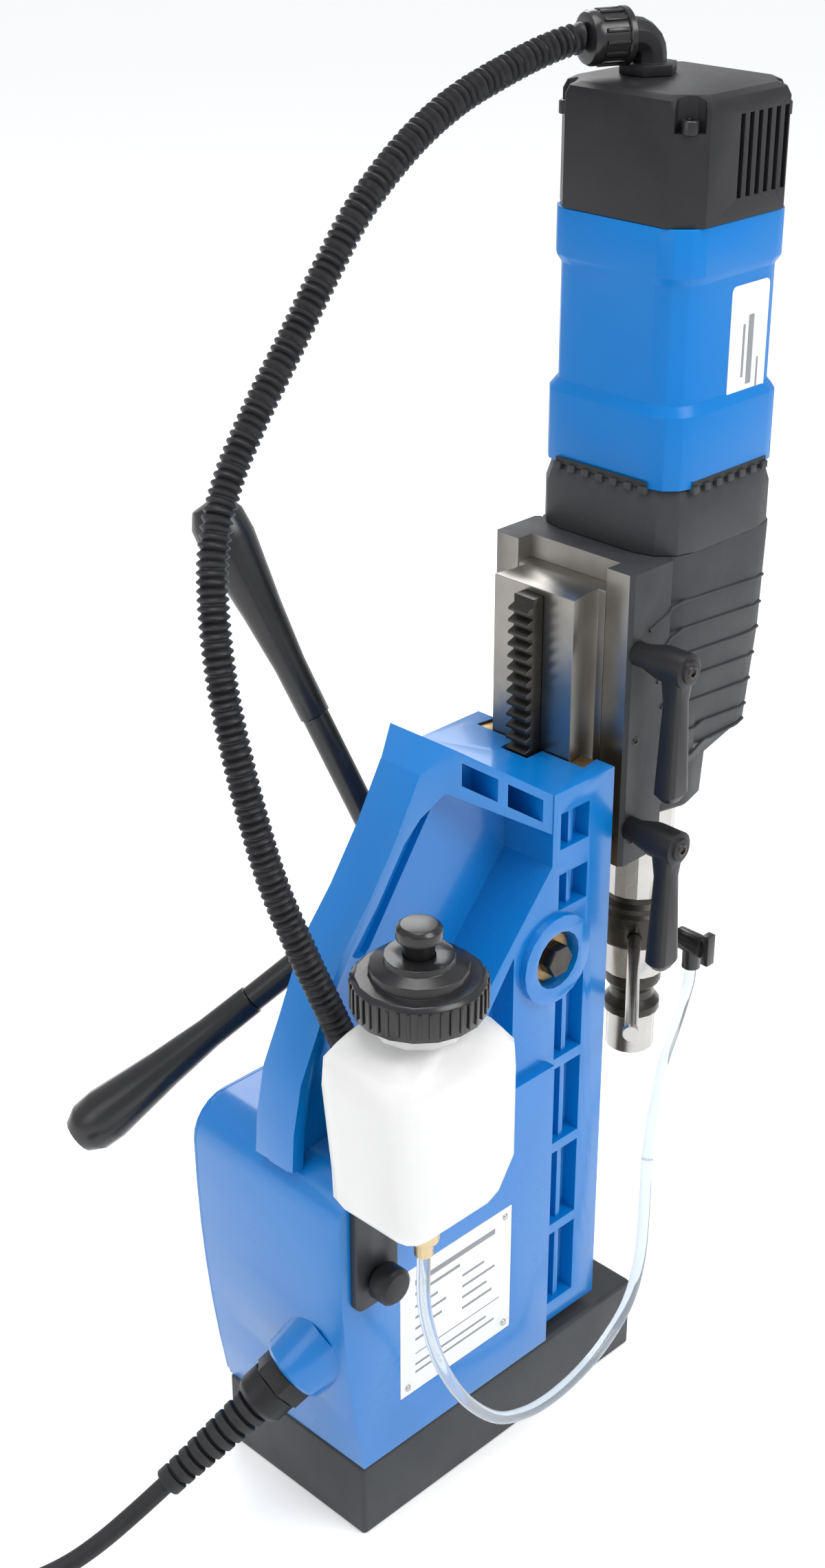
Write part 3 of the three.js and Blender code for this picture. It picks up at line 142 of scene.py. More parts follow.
def stack(name, rings):
    """A closed body skinned over rings of equal counts: a disc, extruded and shaped ring by ring."""
    rest()
    bpy.ops.mesh.primitive_circle_add(vertices=len(rings[0]), radius=1, fill_type="NGON")
    obj = bpy.context.object
    obj.name = obj.data.name = name
    bpy.ops.object.mode_set(mode="EDIT")
    mesh = bmesh.from_edit_mesh(obj.data)
    layer = mesh.verts.layers.int.new("place")
    mesh.verts.ensure_lookup_table()
    for i, vert in enumerate(mesh.verts):
        vert[layer] = i
        vert.co = rings[0][i]
    bmesh.update_edit_mesh(obj.data)
    bpy.ops.mesh.select_all(action="SELECT")
    for points in rings[1:]:
        bpy.ops.mesh.extrude_region_move()
        mesh = bmesh.from_edit_mesh(obj.data)
        layer = mesh.verts.layers.int["place"]
        for vert in mesh.verts:
            if vert.select:
                vert.co = points[vert[layer]]
        bmesh.update_edit_mesh(obj.data)
    bpy.ops.object.mode_set(mode="OBJECT")
    obj.data.attributes.remove(obj.data.attributes["place"])
    obj.location = (0, 0, 0)
    return outward(obj)


def turned(name, profile, at=(0, 0, 0), toward=(0, 0, 1), count=40):
    """A turned body: a profile of (radius, distance) in millimetres round an axis through a point."""
    obj = stack(name, [ring(0, 0, max(radius, 0.02), along, count) for radius, along in profile])
    turn = Vector((0, 0, 1)).rotation_difference(Vector(toward))
    obj.data.transform(Matrix.Translation(mm(*at)) @ turn.to_matrix().to_4x4())
    return obj


def block(name, low, high, edge=0.5, segments=2):
    """A box between two corners in millimetres with rounded edges."""
    rest()
    centre = (Vector(low) + Vector(high)) / 2 * MM
    bpy.ops.mesh.primitive_cube_add(size=1, location=centre)
    obj = bpy.context.object
    obj.name = obj.data.name = name
    obj.scale = (Vector(high) - Vector(low)) * MM
    settle(obj)
    if edge:
        soften(obj, edge, segments)
    return obj


def together(name, first, *others):
    """Joins pieces into one object."""
    pick(first, *others)
    bpy.ops.object.join()
    first.name = first.data.name = name
    return first


def carve(obj, tool):
    """Cuts one closed piece from another and removes the tool."""
    modifier = obj.modifiers.new("carve", "BOOLEAN")
    modifier.operation = "DIFFERENCE"
    modifier.object = tool
    modifier.solver = "EXACT"
    apply_modifier(obj, modifier)
    bpy.data.objects.remove(tool, do_unlink=True)
    return obj


def around(name, piece, count, place):
    """Copies a piece evenly round the upright axis, moves the ring into place and joins it."""
    copies = []
    for k in range(count):
        each = piece.copy()
        each.data = piece.data.copy()
        bpy.context.scene.collection.objects.link(each)
        each.data.transform(place @ Matrix.Rotation(2 * math.pi * k / count, 4, "Z"))
        copies.append(each)
    bpy.data.objects.remove(piece, do_unlink=True)
    return soften(together(name, *copies), 0, 1)


def dressed(name, node, width, segments=2, angle=28):
    """A merged copy of a CAD node with its flats made whole and its edges rounded."""
    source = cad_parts[node]
    obj = source.copy()
    obj.data = source.data.copy()
    bpy.context.scene.collection.objects.link(obj)
    obj.parent = None
    obj.matrix_world = Matrix.Identity(4)
    obj.name = obj.data.name = name
    obj.data.materials.clear()
    pick(obj)
    bpy.ops.object.mode_set(mode="EDIT")
    bpy.ops.mesh.select_all(action="SELECT")
    bpy.ops.mesh.remove_doubles(threshold=2e-6)
    bpy.ops.mesh.dissolve_limited(angle_limit=math.radians(0.6))
    bpy.ops.object.mode_set(mode="OBJECT")
    return soften(obj, width, segments, angle)


def smooth_path(points, step):
    """A Catmull-Rom curve through given points, as evenly spaced points a step apart, in metres."""
    ends = [points[0] * 2 - points[1], *points, points[-1] * 2 - points[-2]]
    dense = [points[0]]
    for a, b, c, d in zip(ends, ends[1:], ends[2:], ends[3:]):
        for i in range(1, 25):
            t = i / 24
            dense.append(0.5 * (2 * b + (c - a) * t + (2 * a - 5 * b + 4 * c - d) * t * t
                                + (3 * b - a - 3 * c + d) * t ** 3))
    lengths = [0.0]
    for a, b in zip(dense, dense[1:]):
        lengths.append(lengths[-1] + (b - a).length)
    count = max(2, round(lengths[-1] / step))
    even, k = [], 0
    for i in range(count + 1):
        goal = lengths[-1] * i / count
        while k < len(dense) - 2 and lengths[k + 1] < goal:
            k += 1
        share = (goal - lengths[k]) / max(lengths[k + 1] - lengths[k], 1e-9)
        even.append(dense[k].lerp(dense[k + 1], min(max(share, 0), 1)))
    return even, lengths[-1]


def swept(name, path, radius_at, sides=16):
    """A tube along a path, its radius a function of the distance along it, with closed ends."""
    mesh = bmesh.new()
    normal = (path[1] - path[0]).orthogonal().normalized()
    rings, distance = [], 0.0
    for i, point in enumerate(path):
        before, after = path[max(i - 1, 0)], path[min(i + 1, len(path) - 1)]
        along = (after - before).normalized()
        normal = (normal - along * normal.dot(along)).normalized()
        side = along.cross(normal)
        if i:
            distance += (point - path[i - 1]).length
        radius = radius_at(distance)
        rings.append([mesh.verts.new(point + radius * (normal * math.cos(2 * math.pi * k / sides)
                                                       + side * math.sin(2 * math.pi * k / sides)))
                      for k in range(sides)])
    for a, b in zip(rings, rings[1:]):
        for k in range(sides):
            mesh.faces.new((a[k], a[(k + 1) % sides], b[(k + 1) % sides], b[k]))
    mesh.faces.new(list(reversed(rings[0])))
    mesh.faces.new(rings[-1])
    data = bpy.data.meshes.new(name)
    bmesh.ops.recalc_face_normals(mesh, faces=mesh.faces)
    mesh.to_mesh(data)
    mesh.free()
    obj = bpy.data.objects.new(name, data)
    bpy.context.scene.collection.objects.link(obj)
    pick(obj)
    bpy.ops.object.shade_smooth_by_angle(angle=math.radians(50))
    return obj


def finish(obj, body, slot, *nodes, look=None):
    """Gives a piece its body and its finish, named by the look or else by the slot, and hides the CAD nodes
    that it stands for.
    """
    obj.data.materials.clear()
    obj.data.materials.append(finish_of(look or slot))
    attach(obj, body)
    if nodes:
        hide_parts(*nodes)
    return obj


def second_finish(obj, material, chosen):
    """Gives the faces that a test picks a second material."""
    obj.data.materials.append(material)
    for face in obj.data.polygons:
        if chosen(face):
            face.material_index = len(obj.data.materials) - 1
    return obj


# ---------------------------------------------------------------- shared shader effects
def new_group(name, inputs, outputs):
    """An empty shader group with named sockets."""
    tree = bpy.data.node_groups.new(name, "ShaderNodeTree")
    for socket, kind, value in inputs:
        made = tree.interface.new_socket(name=socket, in_out="INPUT", socket_type=kind)
        made.default_value = value
    for socket, kind in outputs:
        tree.interface.new_socket(name=socket, in_out="OUTPUT", socket_type=kind)
    return tree, tree.nodes.new("NodeGroupInput"), tree.nodes.new("NodeGroupOutput")


def noise_node(tree, detail, roughness):
    """A noise texture on the piece's own coordinates."""
    place = tree.nodes.new("ShaderNodeTexCoord")
    noise = tree.nodes.new("ShaderNodeTexNoise")
    noise.inputs["Detail"].default_value = detail
    noise.inputs["Roughness"].default_value = roughness
    tree.links.new(place.outputs["Object"], noise.inputs["Vector"])
    return noise


def mottle_group():
    """Soft drifts between two colours, with finer specks of the second."""
    tree, given, result = new_group(
        "Mottled colour",
        [("Main", "NodeSocketColor", (0.5, 0.5, 0.5, 1)), ("Second", "NodeSocketColor", (0.3, 0.3, 0.3, 1)),
         ("Scale", "NodeSocketFloat", 40.0), ("Amount", "NodeSocketFloat", 0.3)],
        [("Color", "NodeSocketColor")])
    noise = noise_node(tree, 4, 0.6)
    spread = tree.nodes.new("ShaderNodeMapRange")
    spread.inputs["From Min"].default_value = 0.35
    spread.inputs["From Max"].default_value = 0.72
    share = tree.nodes.new("ShaderNodeMath")
    share.operation = "MULTIPLY"
    mix = tree.nodes.new("ShaderNodeMix")
    mix.data_type = "RGBA"
    link = tree.links.new
    link(given.outputs["Scale"], noise.inputs["Scale"])
    link(noise.outputs["Fac"], spread.inputs["Value"])
    link(spread.outputs["Result"], share.inputs[0])
    link(given.outputs["Amount"], share.inputs[1])
    link(share.outputs["Value"], mix.inputs["Factor"])
    link(given.outputs["Main"], mix.inputs["A"])
    link(given.outputs["Second"], mix.inputs["B"])
    link(mix.outputs["Result"], result.inputs["Color"])
    return tree


def smudge_group():
    """Roughness that drifts between two values like handling marks and oil film."""
    tree, given, result = new_group(
        "Smudged gloss",
        [("Scale", "NodeSocketFloat", 25.0), ("Low", "NodeSocketFloat", 0.3),
         ("High", "NodeSocketFloat", 0.5)],
        [("Roughness", "NodeSocketFloat")])
    noise = noise_node(tree, 5, 0.65)
    spread = tree.nodes.new("ShaderNodeMapRange")
    spread.inputs["From Min"].default_value = 0.3
    spread.inputs["From Max"].default_value = 0.7
    link = tree.links.new
    link(given.outputs["Scale"], noise.inputs["Scale"])
    link(noise.outputs["Fac"], spread.inputs["Value"])
    link(given.outputs["Low"], spread.inputs["To Min"])
    link(given.outputs["High"], spread.inputs["To Max"])
    link(spread.outputs["Result"], result.inputs["Roughness"])
    return tree


def grain_group():
    """Fine surface texture as a bumped normal: cast skin, moulded texture or orange peel in paint."""
    tree, given, result = new_group(
        "Surface grain",
        [("Scale", "NodeSocketFloat", 900.0), ("Strength", "NodeSocketFloat", 0.1),
         ("Distance", "NodeSocketFloat", 0.0002)],
        [("Normal", "NodeSocketVector")])
    noise = noise_node(tree, 3, 0.55)
    bump = tree.nodes.new("ShaderNodeBump")
    link = tree.links.new
    link(given.outputs["Scale"], noise.inputs["Scale"])
    link(noise.outputs["Fac"], bump.inputs["Height"])
    link(given.outputs["Strength"], bump.inputs["Strength"])
    link(given.outputs["Distance"], bump.inputs["Distance"])
    link(bump.outputs["Normal"], result.inputs["Normal"])
    return tree


def brushed_group():
    """Fine lines left by turning or grinding, drawn out along one axis by a stretched noise."""
    tree, given, result = new_group(
        "Tool marks",
        [("Stretch", "NodeSocketVector", (1500.0, 1500.0, 60.0)), ("Strength", "NodeSocketFloat", 0.15)],
        [("Normal", "NodeSocketVector"), ("Mask", "NodeSocketFloat")])
    place = tree.nodes.new("ShaderNodeTexCoord")
    stretch = tree.nodes.new("ShaderNodeVectorMath")
    stretch.operation = "MULTIPLY"
    noise = tree.nodes.new("ShaderNodeTexNoise")
    noise.inputs["Scale"].default_value = 1
    noise.inputs["Detail"].default_value = 3
    bump = tree.nodes.new("ShaderNodeBump")
    bump.inputs["Distance"].default_value = 0.0001
    link = tree.links.new
    link(place.outputs["Object"], stretch.inputs[0])
    link(given.outputs["Stretch"], stretch.inputs[1])
    link(stretch.outputs["Vector"], noise.inputs["Vector"])
    link(noise.outputs["Fac"], bump.inputs["Height"])
    link(given.outputs["Strength"], bump.inputs["Strength"])
    link(bump.outputs["Normal"], result.inputs["Normal"])
    link(noise.outputs["Fac"], result.inputs["Mask"])
    return tree


GROUPS = {}


def shared(name):
    """One shader group, built the first time that a material asks for it."""
    makers = {"mottle": mottle_group, "smudge": smudge_group, "grain": grain_group, "marks": brushed_group}
    if name not in GROUPS:
        GROUPS[name] = makers[name]()
    return GROUPS[name]


def placed(tree, name, **values):
    """A shared group placed in a material with its own values."""
    node = tree.nodes.new("ShaderNodeGroup")
    node.node_tree = shared(name)
    for socket, value in values.items():
        node.inputs[socket].default_value = value
    return node


def surface(name, main, second, amount, drift, gloss, metal=0.0, grain=None, marks=None, coat=0.0,
            shine=0.5):
    """A material of mottled colour and smudged gloss with either cast grain or tool marks."""
    material = bpy.data.materials.new(name)
    material.use_nodes = True
    tree = material.node_tree
    shader = tree.nodes["Principled BSDF"]
    shader.inputs["Metallic"].default_value = metal
    shader.inputs["Coat Weight"].default_value = coat
    shader.inputs["Specular IOR Level"].default_value = shine
    shader.inputs["Coat Roughness"].default_value = 0.08
    colour = placed(tree, "mottle", Main=(*main, 1), Second=(*second, 1), Scale=drift, Amount=amount)
    smudge = placed(tree, "smudge", Low=gloss[0], High=gloss[1])
    tree.links.new(colour.outputs["Color"], shader.inputs["Base Color"])
    tree.links.new(smudge.outputs["Roughness"], shader.inputs["Roughness"])
    if marks:
        texture = placed(tree, "marks", Stretch=marks[0], Strength=marks[1])
    else:
        texture = placed(tree, "grain", Scale=grain[0], Strength=grain[1], Distance=grain[2])
    tree.links.new(texture.outputs["Normal"], shader.inputs["Normal"])
    material.diffuse_color = (*main, 1)
    return material


def blue_paint(colours):
    """Glossy blue stove paint with a faint orange peel."""
    main = tuple(colours.blue)
    return surface("blue_paint", main, tuple(c * 0.8 for c in main), 0.25, 18, (0.2, 0.3),
                   grain=(420, 0.05, 0.0003), coat=0.2)


def housing_blue(colours):
    """Blue moulded motor shell, duller than the paint."""
    main = tuple(colours.blue)
    return surface("housing_blue", main, tuple(c * 0.85 for c in main), 0.25, 22, (0.3, 0.4),
                   grain=(1400, 0.05, 0.0002), shine=0.25)


def dark_paint():
    """Dull dark paint on the magnet foot and the bottle's bracket."""
    return surface("dark_paint", (0.028, 0.031, 0.036), (0.045, 0.048, 0.052), 0.4, 30, (0.42, 0.55),
                   grain=(700, 0.08, 0.0003), shine=0.4)


def cast_grey():
    """Rough dark skin of the cast gear case."""
    return surface("cast_grey", (0.035, 0.037, 0.041), (0.055, 0.057, 0.06), 0.4, 60, (0.42, 0.58),
                   grain=(1600, 0.22, 0.0003), shine=0.28)


def black_plastic():
    """Moulded black plastic with a fine texture."""
    return surface("black_plastic", (0.014, 0.014, 0.016), (0.026, 0.026, 0.028), 0.35, 50, (0.36, 0.5),
                   grain=(2200, 0.14, 0.0002), shine=0.3)


def glossy_black():
    """Smooth black plastic with a shine."""
    return surface("glossy_black", (0.012, 0.012, 0.013), (0.024, 0.024, 0.025), 0.3, 60, (0.2, 0.32),
                   grain=(1500, 0.05, 0.0002))


def black_rubber():
    """Matt black rubber."""
    return surface("black_rubber", (0.011, 0.011, 0.012), (0.024, 0.024, 0.025), 0.4, 40, (0.52, 0.68),
                   grain=(2600, 0.2, 0.0002))


def bright_steel():
    """Polished steel with turning marks round the upright axis."""
    return surface("bright_steel", (0.52, 0.51, 0.49), (0.38, 0.37, 0.35), 0.35, 60, (0.2, 0.34), 1.0,
                   marks=((60.0, 60.0, 2600.0), 0.12))


def machined_steel():
    """Milled and ground steel with upright tool marks."""
    return surface("machined_steel", (0.33, 0.315, 0.29), (0.2, 0.19, 0.175), 0.5, 35, (0.28, 0.42), 1.0,
                   marks=((900.0, 900.0, 30.0), 0.2))


def oiled_steel():
    """Blackened steel with a film of oil."""
    return surface("oiled_steel", (0.045, 0.042, 0.038), (0.1, 0.09, 0.08), 0.4, 90, (0.22, 0.4), 0.85,
                   grain=(1200, 0.12, 0.0002))


def bronze():
    """Brownish bearing metal."""
    return surface("bronze", (0.33, 0.22, 0.1), (0.2, 0.13, 0.06), 0.5, 60, (0.3, 0.45), 0.9,
                   marks=((900.0, 900.0, 40.0), 0.2))


def white_enamel():
    """White enamel of the plates and labels."""
    return surface("white_enamel", (0.82, 0.83, 0.83), (0.74, 0.75, 0.76), 0.2, 30, (0.3, 0.38),
                   grain=(900, 0.02, 0.0001))


def plain(name, colour, low, high):
    """A plain colour between two values of gloss."""
    return surface(name, colour, tuple(c * 0.7 for c in colour), 0.3, 40, (low, high),
                   grain=(1500, 0.06, 0.0002))


def milky_plastic():
    """Blow-moulded bottle wall: white, softly see-through, with a waxy gloss."""
    material = surface("milky_plastic", (0.76, 0.765, 0.75), (0.7, 0.705, 0.69), 0.3, 16, (0.28, 0.4),
                       grain=(260, 0.05, 0.0004))
    shader = material.node_tree.nodes["Principled BSDF"]
    shader.inputs["Subsurface Weight"].default_value = 0.35
    shader.inputs["Subsurface Radius"].default_value = (0.9, 0.95, 1.0)
    shader.inputs["Subsurface Scale"].default_value = 0.006
    return material


def clear_hose():
    """Clear soft plastic hose."""
    material = surface("clear_hose", (0.8, 0.87, 0.93), (0.72, 0.81, 0.9), 0.3, 60, (0.05, 0.12),
                       grain=(500, 0.03, 0.0002))
    shader = material.node_tree.nodes["Principled BSDF"]
    shader.inputs["Transmission Weight"].default_value = 0.8
    shader.inputs["IOR"].default_value = 1.4
    return material


FINISHES = {}


def finish_of(name):
    """A material, made the first time that a piece asks for it."""
    colours = bpy.context.scene.drill_press_colours
    makers = {
        "blue_paint": lambda: blue_paint(colours), "housing_blue": lambda: housing_blue(colours),
        "dark_paint": dark_paint, "cast_grey": cast_grey, "black_plastic": black_plastic,
        "glossy_black": glossy_black, "black_rubber": black_rubber, "steel": bright_steel,
        "machined_steel": machined_steel, "oiled_steel": oiled_steel, "bronze": bronze,
        "white_enamel": white_enamel, "milky_plastic": milky_plastic, "clear_hose": clear_hose,
        "copper": lambda: plain("copper", (0.4, 0.13, 0.05), 0.3, 0.45),
        "green_plastic": lambda: plain("green_plastic", (0.02, 0.3, 0.05), 0.25, 0.35),
        "red_plastic": lambda: plain("red_plastic", (0.5, 0.015, 0.015), 0.25, 0.35),
        "board_green": lambda: plain("board_green", (0.02, 0.15, 0.05), 0.35, 0.5),
        "brass": lambda: surface("brass", (0.62, 0.5, 0.3), (0.5, 0.38, 0.2), 0.4, 60, (0.25, 0.38), 0.9,
                                 marks=((900.0, 900.0, 40.0), 0.15)),
        "print_grey": lambda: plain("print_grey", (0.25, 0.26, 0.28), 0.4, 0.5),
    }
    if name not in FINISHES:
        FINISHES[name] = makers[name]()
    return FINISHES[name]


# ---------------------------------------------------------------- settings
class DrillPressSizes(bpy.types.PropertyGroup):
    """Sizes of the finished detail, in metres."""

    paint_round: bpy.props.FloatProperty(
        name="Casting edge", description="Radius of the casting's edges", default=0.0014, unit="LENGTH")
    conduit_pitch: bpy.props.FloatProperty(
        name="Conduit pitch", description="Distance between ribs", default=0.0038, unit="LENGTH")
    cord_diameter: bpy.props.FloatProperty(
        name="Mains cord", description="Diameter of the mains cord", default=0.0096, unit="LENGTH")
    hose_diameter: bpy.props.FloatProperty(
        name="Hose", description="Diameter of the coolant hose", default=0.0066, unit="LENGTH")


class DrillPressColours(bpy.types.PropertyGroup):
    """Colours that a user would change."""

    blue: bpy.props.FloatVectorProperty(
        name="Paint", description="Colour of the painted casting and the motor shell", subtype="COLOR",
        default=(0.0, 0.175, 0.54), min=0, max=1)
    floor: bpy.props.FloatVectorProperty(
        name="Floor", description="Colour of the studio floor", subtype="COLOR",
        default=(0.95, 0.95, 0.95), min=0, max=1)


# ---------------------------------------------------------------- shared piece makers
def dress(name, node, body, slot, width=0.5, segments=2, angle=28, look=None):
    """A CAD node's finished piece: merged, edges rounded, and in its own finish."""
    return finish(dressed(name, node, width, segments, angle), body, slot, node, look=look)


def keep(node, finish_name):
    """Leaves a CAD node as it is, in a better finish."""
    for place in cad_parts[node].material_slots:
        place.material = finish_of(finish_name)


def socket_screw(name, at, toward, head, tall, body, look="oiled_steel"):
    """A cap screw with a round head and a hexagon socket, standing on a surface."""
    screw = turned(name, [(head * 0.6, -1), (head, -0.2), (head, tall - 0.6), (head - 0.6, tall),
                          (head * 0.56, tall)], at, toward, 24)
    cutter = turned("socket", [(head * 0.52, tall * 0.45), (head * 0.52, tall + 2)], at, toward, 6)
    carve(screw, cutter)
    soften(screw, 0.15, 1)
    return finish(screw, body, "oiled_steel", look=look)


def pan_screw(name, at, toward, head):
    """A domed screw head with a cross recess, on the stand."""
    screw = turned(name, [(head * 0.7, -1), (head, -0.1), (head * 0.97, 0.6), (head * 0.8, 1.3),
                          (head * 0.45, 1.75), (0.2, 1.9)], at, toward, 28)
    axis = Vector(toward).normalized()
    side = axis.orthogonal().normalized()
    for spoke in (side, axis.cross(side)):
        blade = turned("recess", [(head * 0.12, 0.9), (head * 0.16, 3)], at, toward, 4)
        stretch = Matrix.Identity(3)
        for r in range(3):
            for c in range(3):
                stretch[r][c] += 2.6 * spoke[r] * spoke[c]
        centre = mm(*at)
        blade.data.transform(Matrix.Translation(centre) @ stretch.to_4x4() @ Matrix.Translation(-centre))
        carve(screw, blade)
    soften(screw, 0, 1)
    return finish(screw, "stand", "steel")


def raise_if_empty(name):
    """Stops an operator whose piece came out empty."""
    obj = bpy.data.objects.get(name)
    if obj is None or (obj.type == "MESH" and not obj.data.polygons):
        raise RuntimeError(f"{name} was not made")


class DrillOperator:
    """What every operator of the drill press shares."""

    bl_options = {"REGISTER", "UNDO"}
    made = ()

    def execute(self, context):
        self.build(context)
        for name in self.made:
            raise_if_empty(name)
        return {"FINISHED"}


# ---------------------------------------------------------------- stage
class DRILLPRESS_OT_stage(DrillOperator, bpy.types.Operator):
    """Adds the floor, the soft studio light and the camera"""

    bl_idname = "drillpress.stage"
    bl_label = "Stage"
    made = ("floor",)

    def build(self, context):
        camera_data = bpy.data.cameras.new("camera")
        camera_data.lens = 51.78
        camera_data.sensor_width = 36
        camera_data.sensor_fit = "AUTO"
        camera = bpy.data.objects.new("camera", camera_data)
        context.scene.collection.objects.link(camera)
        right = Vector((-0.70907, -0.70514, -0.00133)).normalized()
        up = Vector((0.31752, -0.32098, 0.89228)).normalized()
        back = right.cross(up).normalized()
        up = back.cross(right).normalized()
        turn = Matrix((right, up, back)).transposed()
        camera.matrix_world = Matrix.Translation((-0.6765, 0.6970, 0.8682)) @ turn.to_4x4()
        camera_data.clip_start = 0.01
        context.scene.camera = camera

        rest()
        bpy.ops.mesh.primitive_plane_add(size=80, location=(0, 0, -0.0006))
        floor = context.object
        floor.name = floor.data.name = "floor"
        bpy.ops.object.mode_set(mode="EDIT")
        bpy.ops.mesh.subdivide(number_cuts=3)
        bpy.ops.object.mode_set(mode="OBJECT")
        material = bpy.data.materials.new("floor")
        material.use_nodes = True
        shader = material.node_tree.nodes["Principled BSDF"]
        tone = tuple(context.scene.drill_press_colours.floor)
        colour = placed(material.node_tree, "mottle", Main=(*tone, 1),
                        Second=(*(c * 0.985 for c in tone), 1), Scale=3.0, Amount=0.5)
        material.node_tree.links.new(colour.outputs["Color"], shader.inputs["Base Color"])
        shader.inputs["Roughness"].default_value = 0.85
        shader.inputs["Emission Color"].default_value = (1, 1, 1, 1)
        shader.inputs["Emission Strength"].default_value = 0.3
        floor.data.materials.append(material)

        world = bpy.data.worlds.new("studio")
        world.use_nodes = True
        world.node_tree.nodes["Background"].inputs["Color"].default_value = (0.97, 0.98, 1.0, 1)
        world.node_tree.nodes["Background"].inputs["Strength"].default_value = 0.68
        context.scene.world = world
        context.scene.view_settings.view_transform = "Standard"
        lamps = (("key", (-1.6, -0.4, 2.0), 1.1, 23), ("fill", (0.3, 2.3, 1.2), 1.2, 7),
                 ("rim", (1.6, -1.2, 1.6), 1.0, 12), ("overhead", (0.0, 0.2, 2.6), 1.3, 22))
        for name, place, size, power in lamps:
            data = bpy.data.lights.new(name, "AREA")
            data.shape = "SQUARE"
            data.size = size
            data.energy = power
            lamp = bpy.data.objects.new(name, data)
            context.scene.collection.objects.link(lamp)
            lamp.location = place
            lamp.rotation_euler = (Vector((0, 0, 0.35)) - Vector(place)).to_track_quat("-Z", "Y").to_euler()


# ---------------------------------------------------------------- cords and hoses
CONDUIT_MEET = mm(28, 107, 534)
CONDUIT_WAY = Vector((-0.2, 0.48, -0.85)).normalized()
HOSE_MEET = mm(-61, -101, 134)
HOSE_WAY = Vector((0.15, -0.3, 0.94)).normalized()
ELBOW_TOP = mm(17.5, -157, 705.6)
ELBOW_WAY = Vector((math.cos(math.radians(68)), math.sin(math.radians(68)), 0))
GLAND_FOOT = mm(-22, 113.8, 106.6)
GLAND_WAY = Vector((0.33, 0.71, -0.62)).normalized()
COIL_CENTRE = mm(0, 352, 0)


def ribbed(length, pitch, crest=7.3, root=5.3):
    """The radius of a corrugated tube along its length, with the pitch fitted to whole ribs."""
    fitted = length / MM / round(length / MM / pitch)

    def radius(distance):
        wave = 0.5 - 0.5 * math.cos(2 * math.pi * distance / (fitted * MM))
        return (root + (crest - root) * wave ** 0.7) * MM

    return radius


class DRILLPRESS_OT_mains_cord(DrillOperator, bpy.types.Operator):
    """Adds the mains cord with its coil, tie, strain relief and plug"""

    bl_idname = "drillpress.mains_cord"
    bl_label = "Mains cord"
    made = ("mains_cable", "cable_tie", "cable_relief", "cable_plug")

    def build(self, context):
        def gland(distance):
            return GLAND_FOOT + GLAND_WAY * distance * MM

        outer, inner, turns, low = 66.0, 34.6, 3.27, 5.0
        step = context.scene.drill_press_sizes.cord_diameter / MM + 0.1
        start_angle = math.radians(-17.5)
        points = [gland(96.6), gland(120.3), mm(25, 216, 19.5), mm(32, 232, 11), mm(40, 251, 6.6),
                  mm(48, 273, 5.2), mm(56.5, 300, low)]
        per_turn = 20
        count = round(turns * per_turn)
        for i in range(count + 1):
            share = i / count
            angle = start_angle + 2 * math.pi * turns * share
            radius = outer + (inner - outer) * share
            points.append(COIL_CENTRE + mm(radius * math.cos(angle), radius * math.sin(angle), low))
        climb = 8
        for i in range(1, climb):
            share = i / climb
            angle = start_angle + 2 * math.pi * (turns + 0.4 * share)
            radius = inner - 2.2 * math.sin(math.pi * share)
            height = low + step * share
            points.append(COIL_CENTRE + mm(radius * math.cos(angle), radius * math.sin(angle), height))
        first = start_angle + 2 * math.pi * (turns + 0.4)
        last = math.pi + 2 * math.pi * math.ceil((first + 2 * math.pi * turns - math.pi) / (2 * math.pi))
        count = round((last - first) / (2 * math.pi) * per_turn)
        for i in range(count + 1):
            share = i / count
            angle = first + (last - first) * share
            radius = inner + (outer - inner) * share
            points.append(COIL_CENTRE + mm(radius * math.cos(angle), radius * math.sin(angle), low + step))
        points += [mm(-66, 338, low + step + 0.6), mm(-66, 322, 16.2), mm(-66, 306, 17.6),
                   mm(-66, 292, 18.3)]
        path, length = smooth_path(points, 0.004)
        radius = context.scene.drill_press_sizes.cord_diameter / 2
        cable = swept("mains_cable", path, lambda s: radius, 14)
        plug = self.plug()
        relief = self.relief()
        tie = self.tie()
        finish(cable, "stand", "black_rubber", "mains_cord", "mains_coil")

    def relief(self):
        """A tapered rubber sleeve with ribs that part for bending."""
        profile = [(6.2, 36.3)]
        rings, pitch = 8, 6.5
        for k in range(rings):
            start = 38.2 + pitch * k
            crest = 10.0 - 2.2 * k / (rings - 1)
            profile += [(crest - 3.2, start), (crest - 0.5, start + 0.05), (crest, start + 0.6),
                        (crest, start + 3.9), (crest - 0.5, start + 4.4), (crest - 3.2, start + 4.5)]
        profile += [(5.0, 90.0), (7.2, 90.05), (7.7, 90.5), (7.7, 95.6), (7.2, 96.2), (5.2, 96.3)]
        relief = turned("cable_relief", profile, tuple(GLAND_FOOT / MM), GLAND_WAY, 36)
        soften(relief, 0, 1, 40)
        return finish(relief, "stand", "black_rubber", "strain_relief")

    def tie(self):
        """A strap closed round the coil."""
        tie = dressed("cable_tie", "coil_tie", 0.4, 2)
        return finish(tie, "stand", "black_plastic", "coil_tie")

    def plug(self):
        """A moulded plug with metal pins."""
        plug = dressed("cable_plug", "mains_plug", 0.7, 2)
        finish(plug, "stand", "black_rubber", "mains_plug", look="black_plastic")
        return second_finish(plug, finish_of("steel"), lambda face: face.center.y < 0.2335)


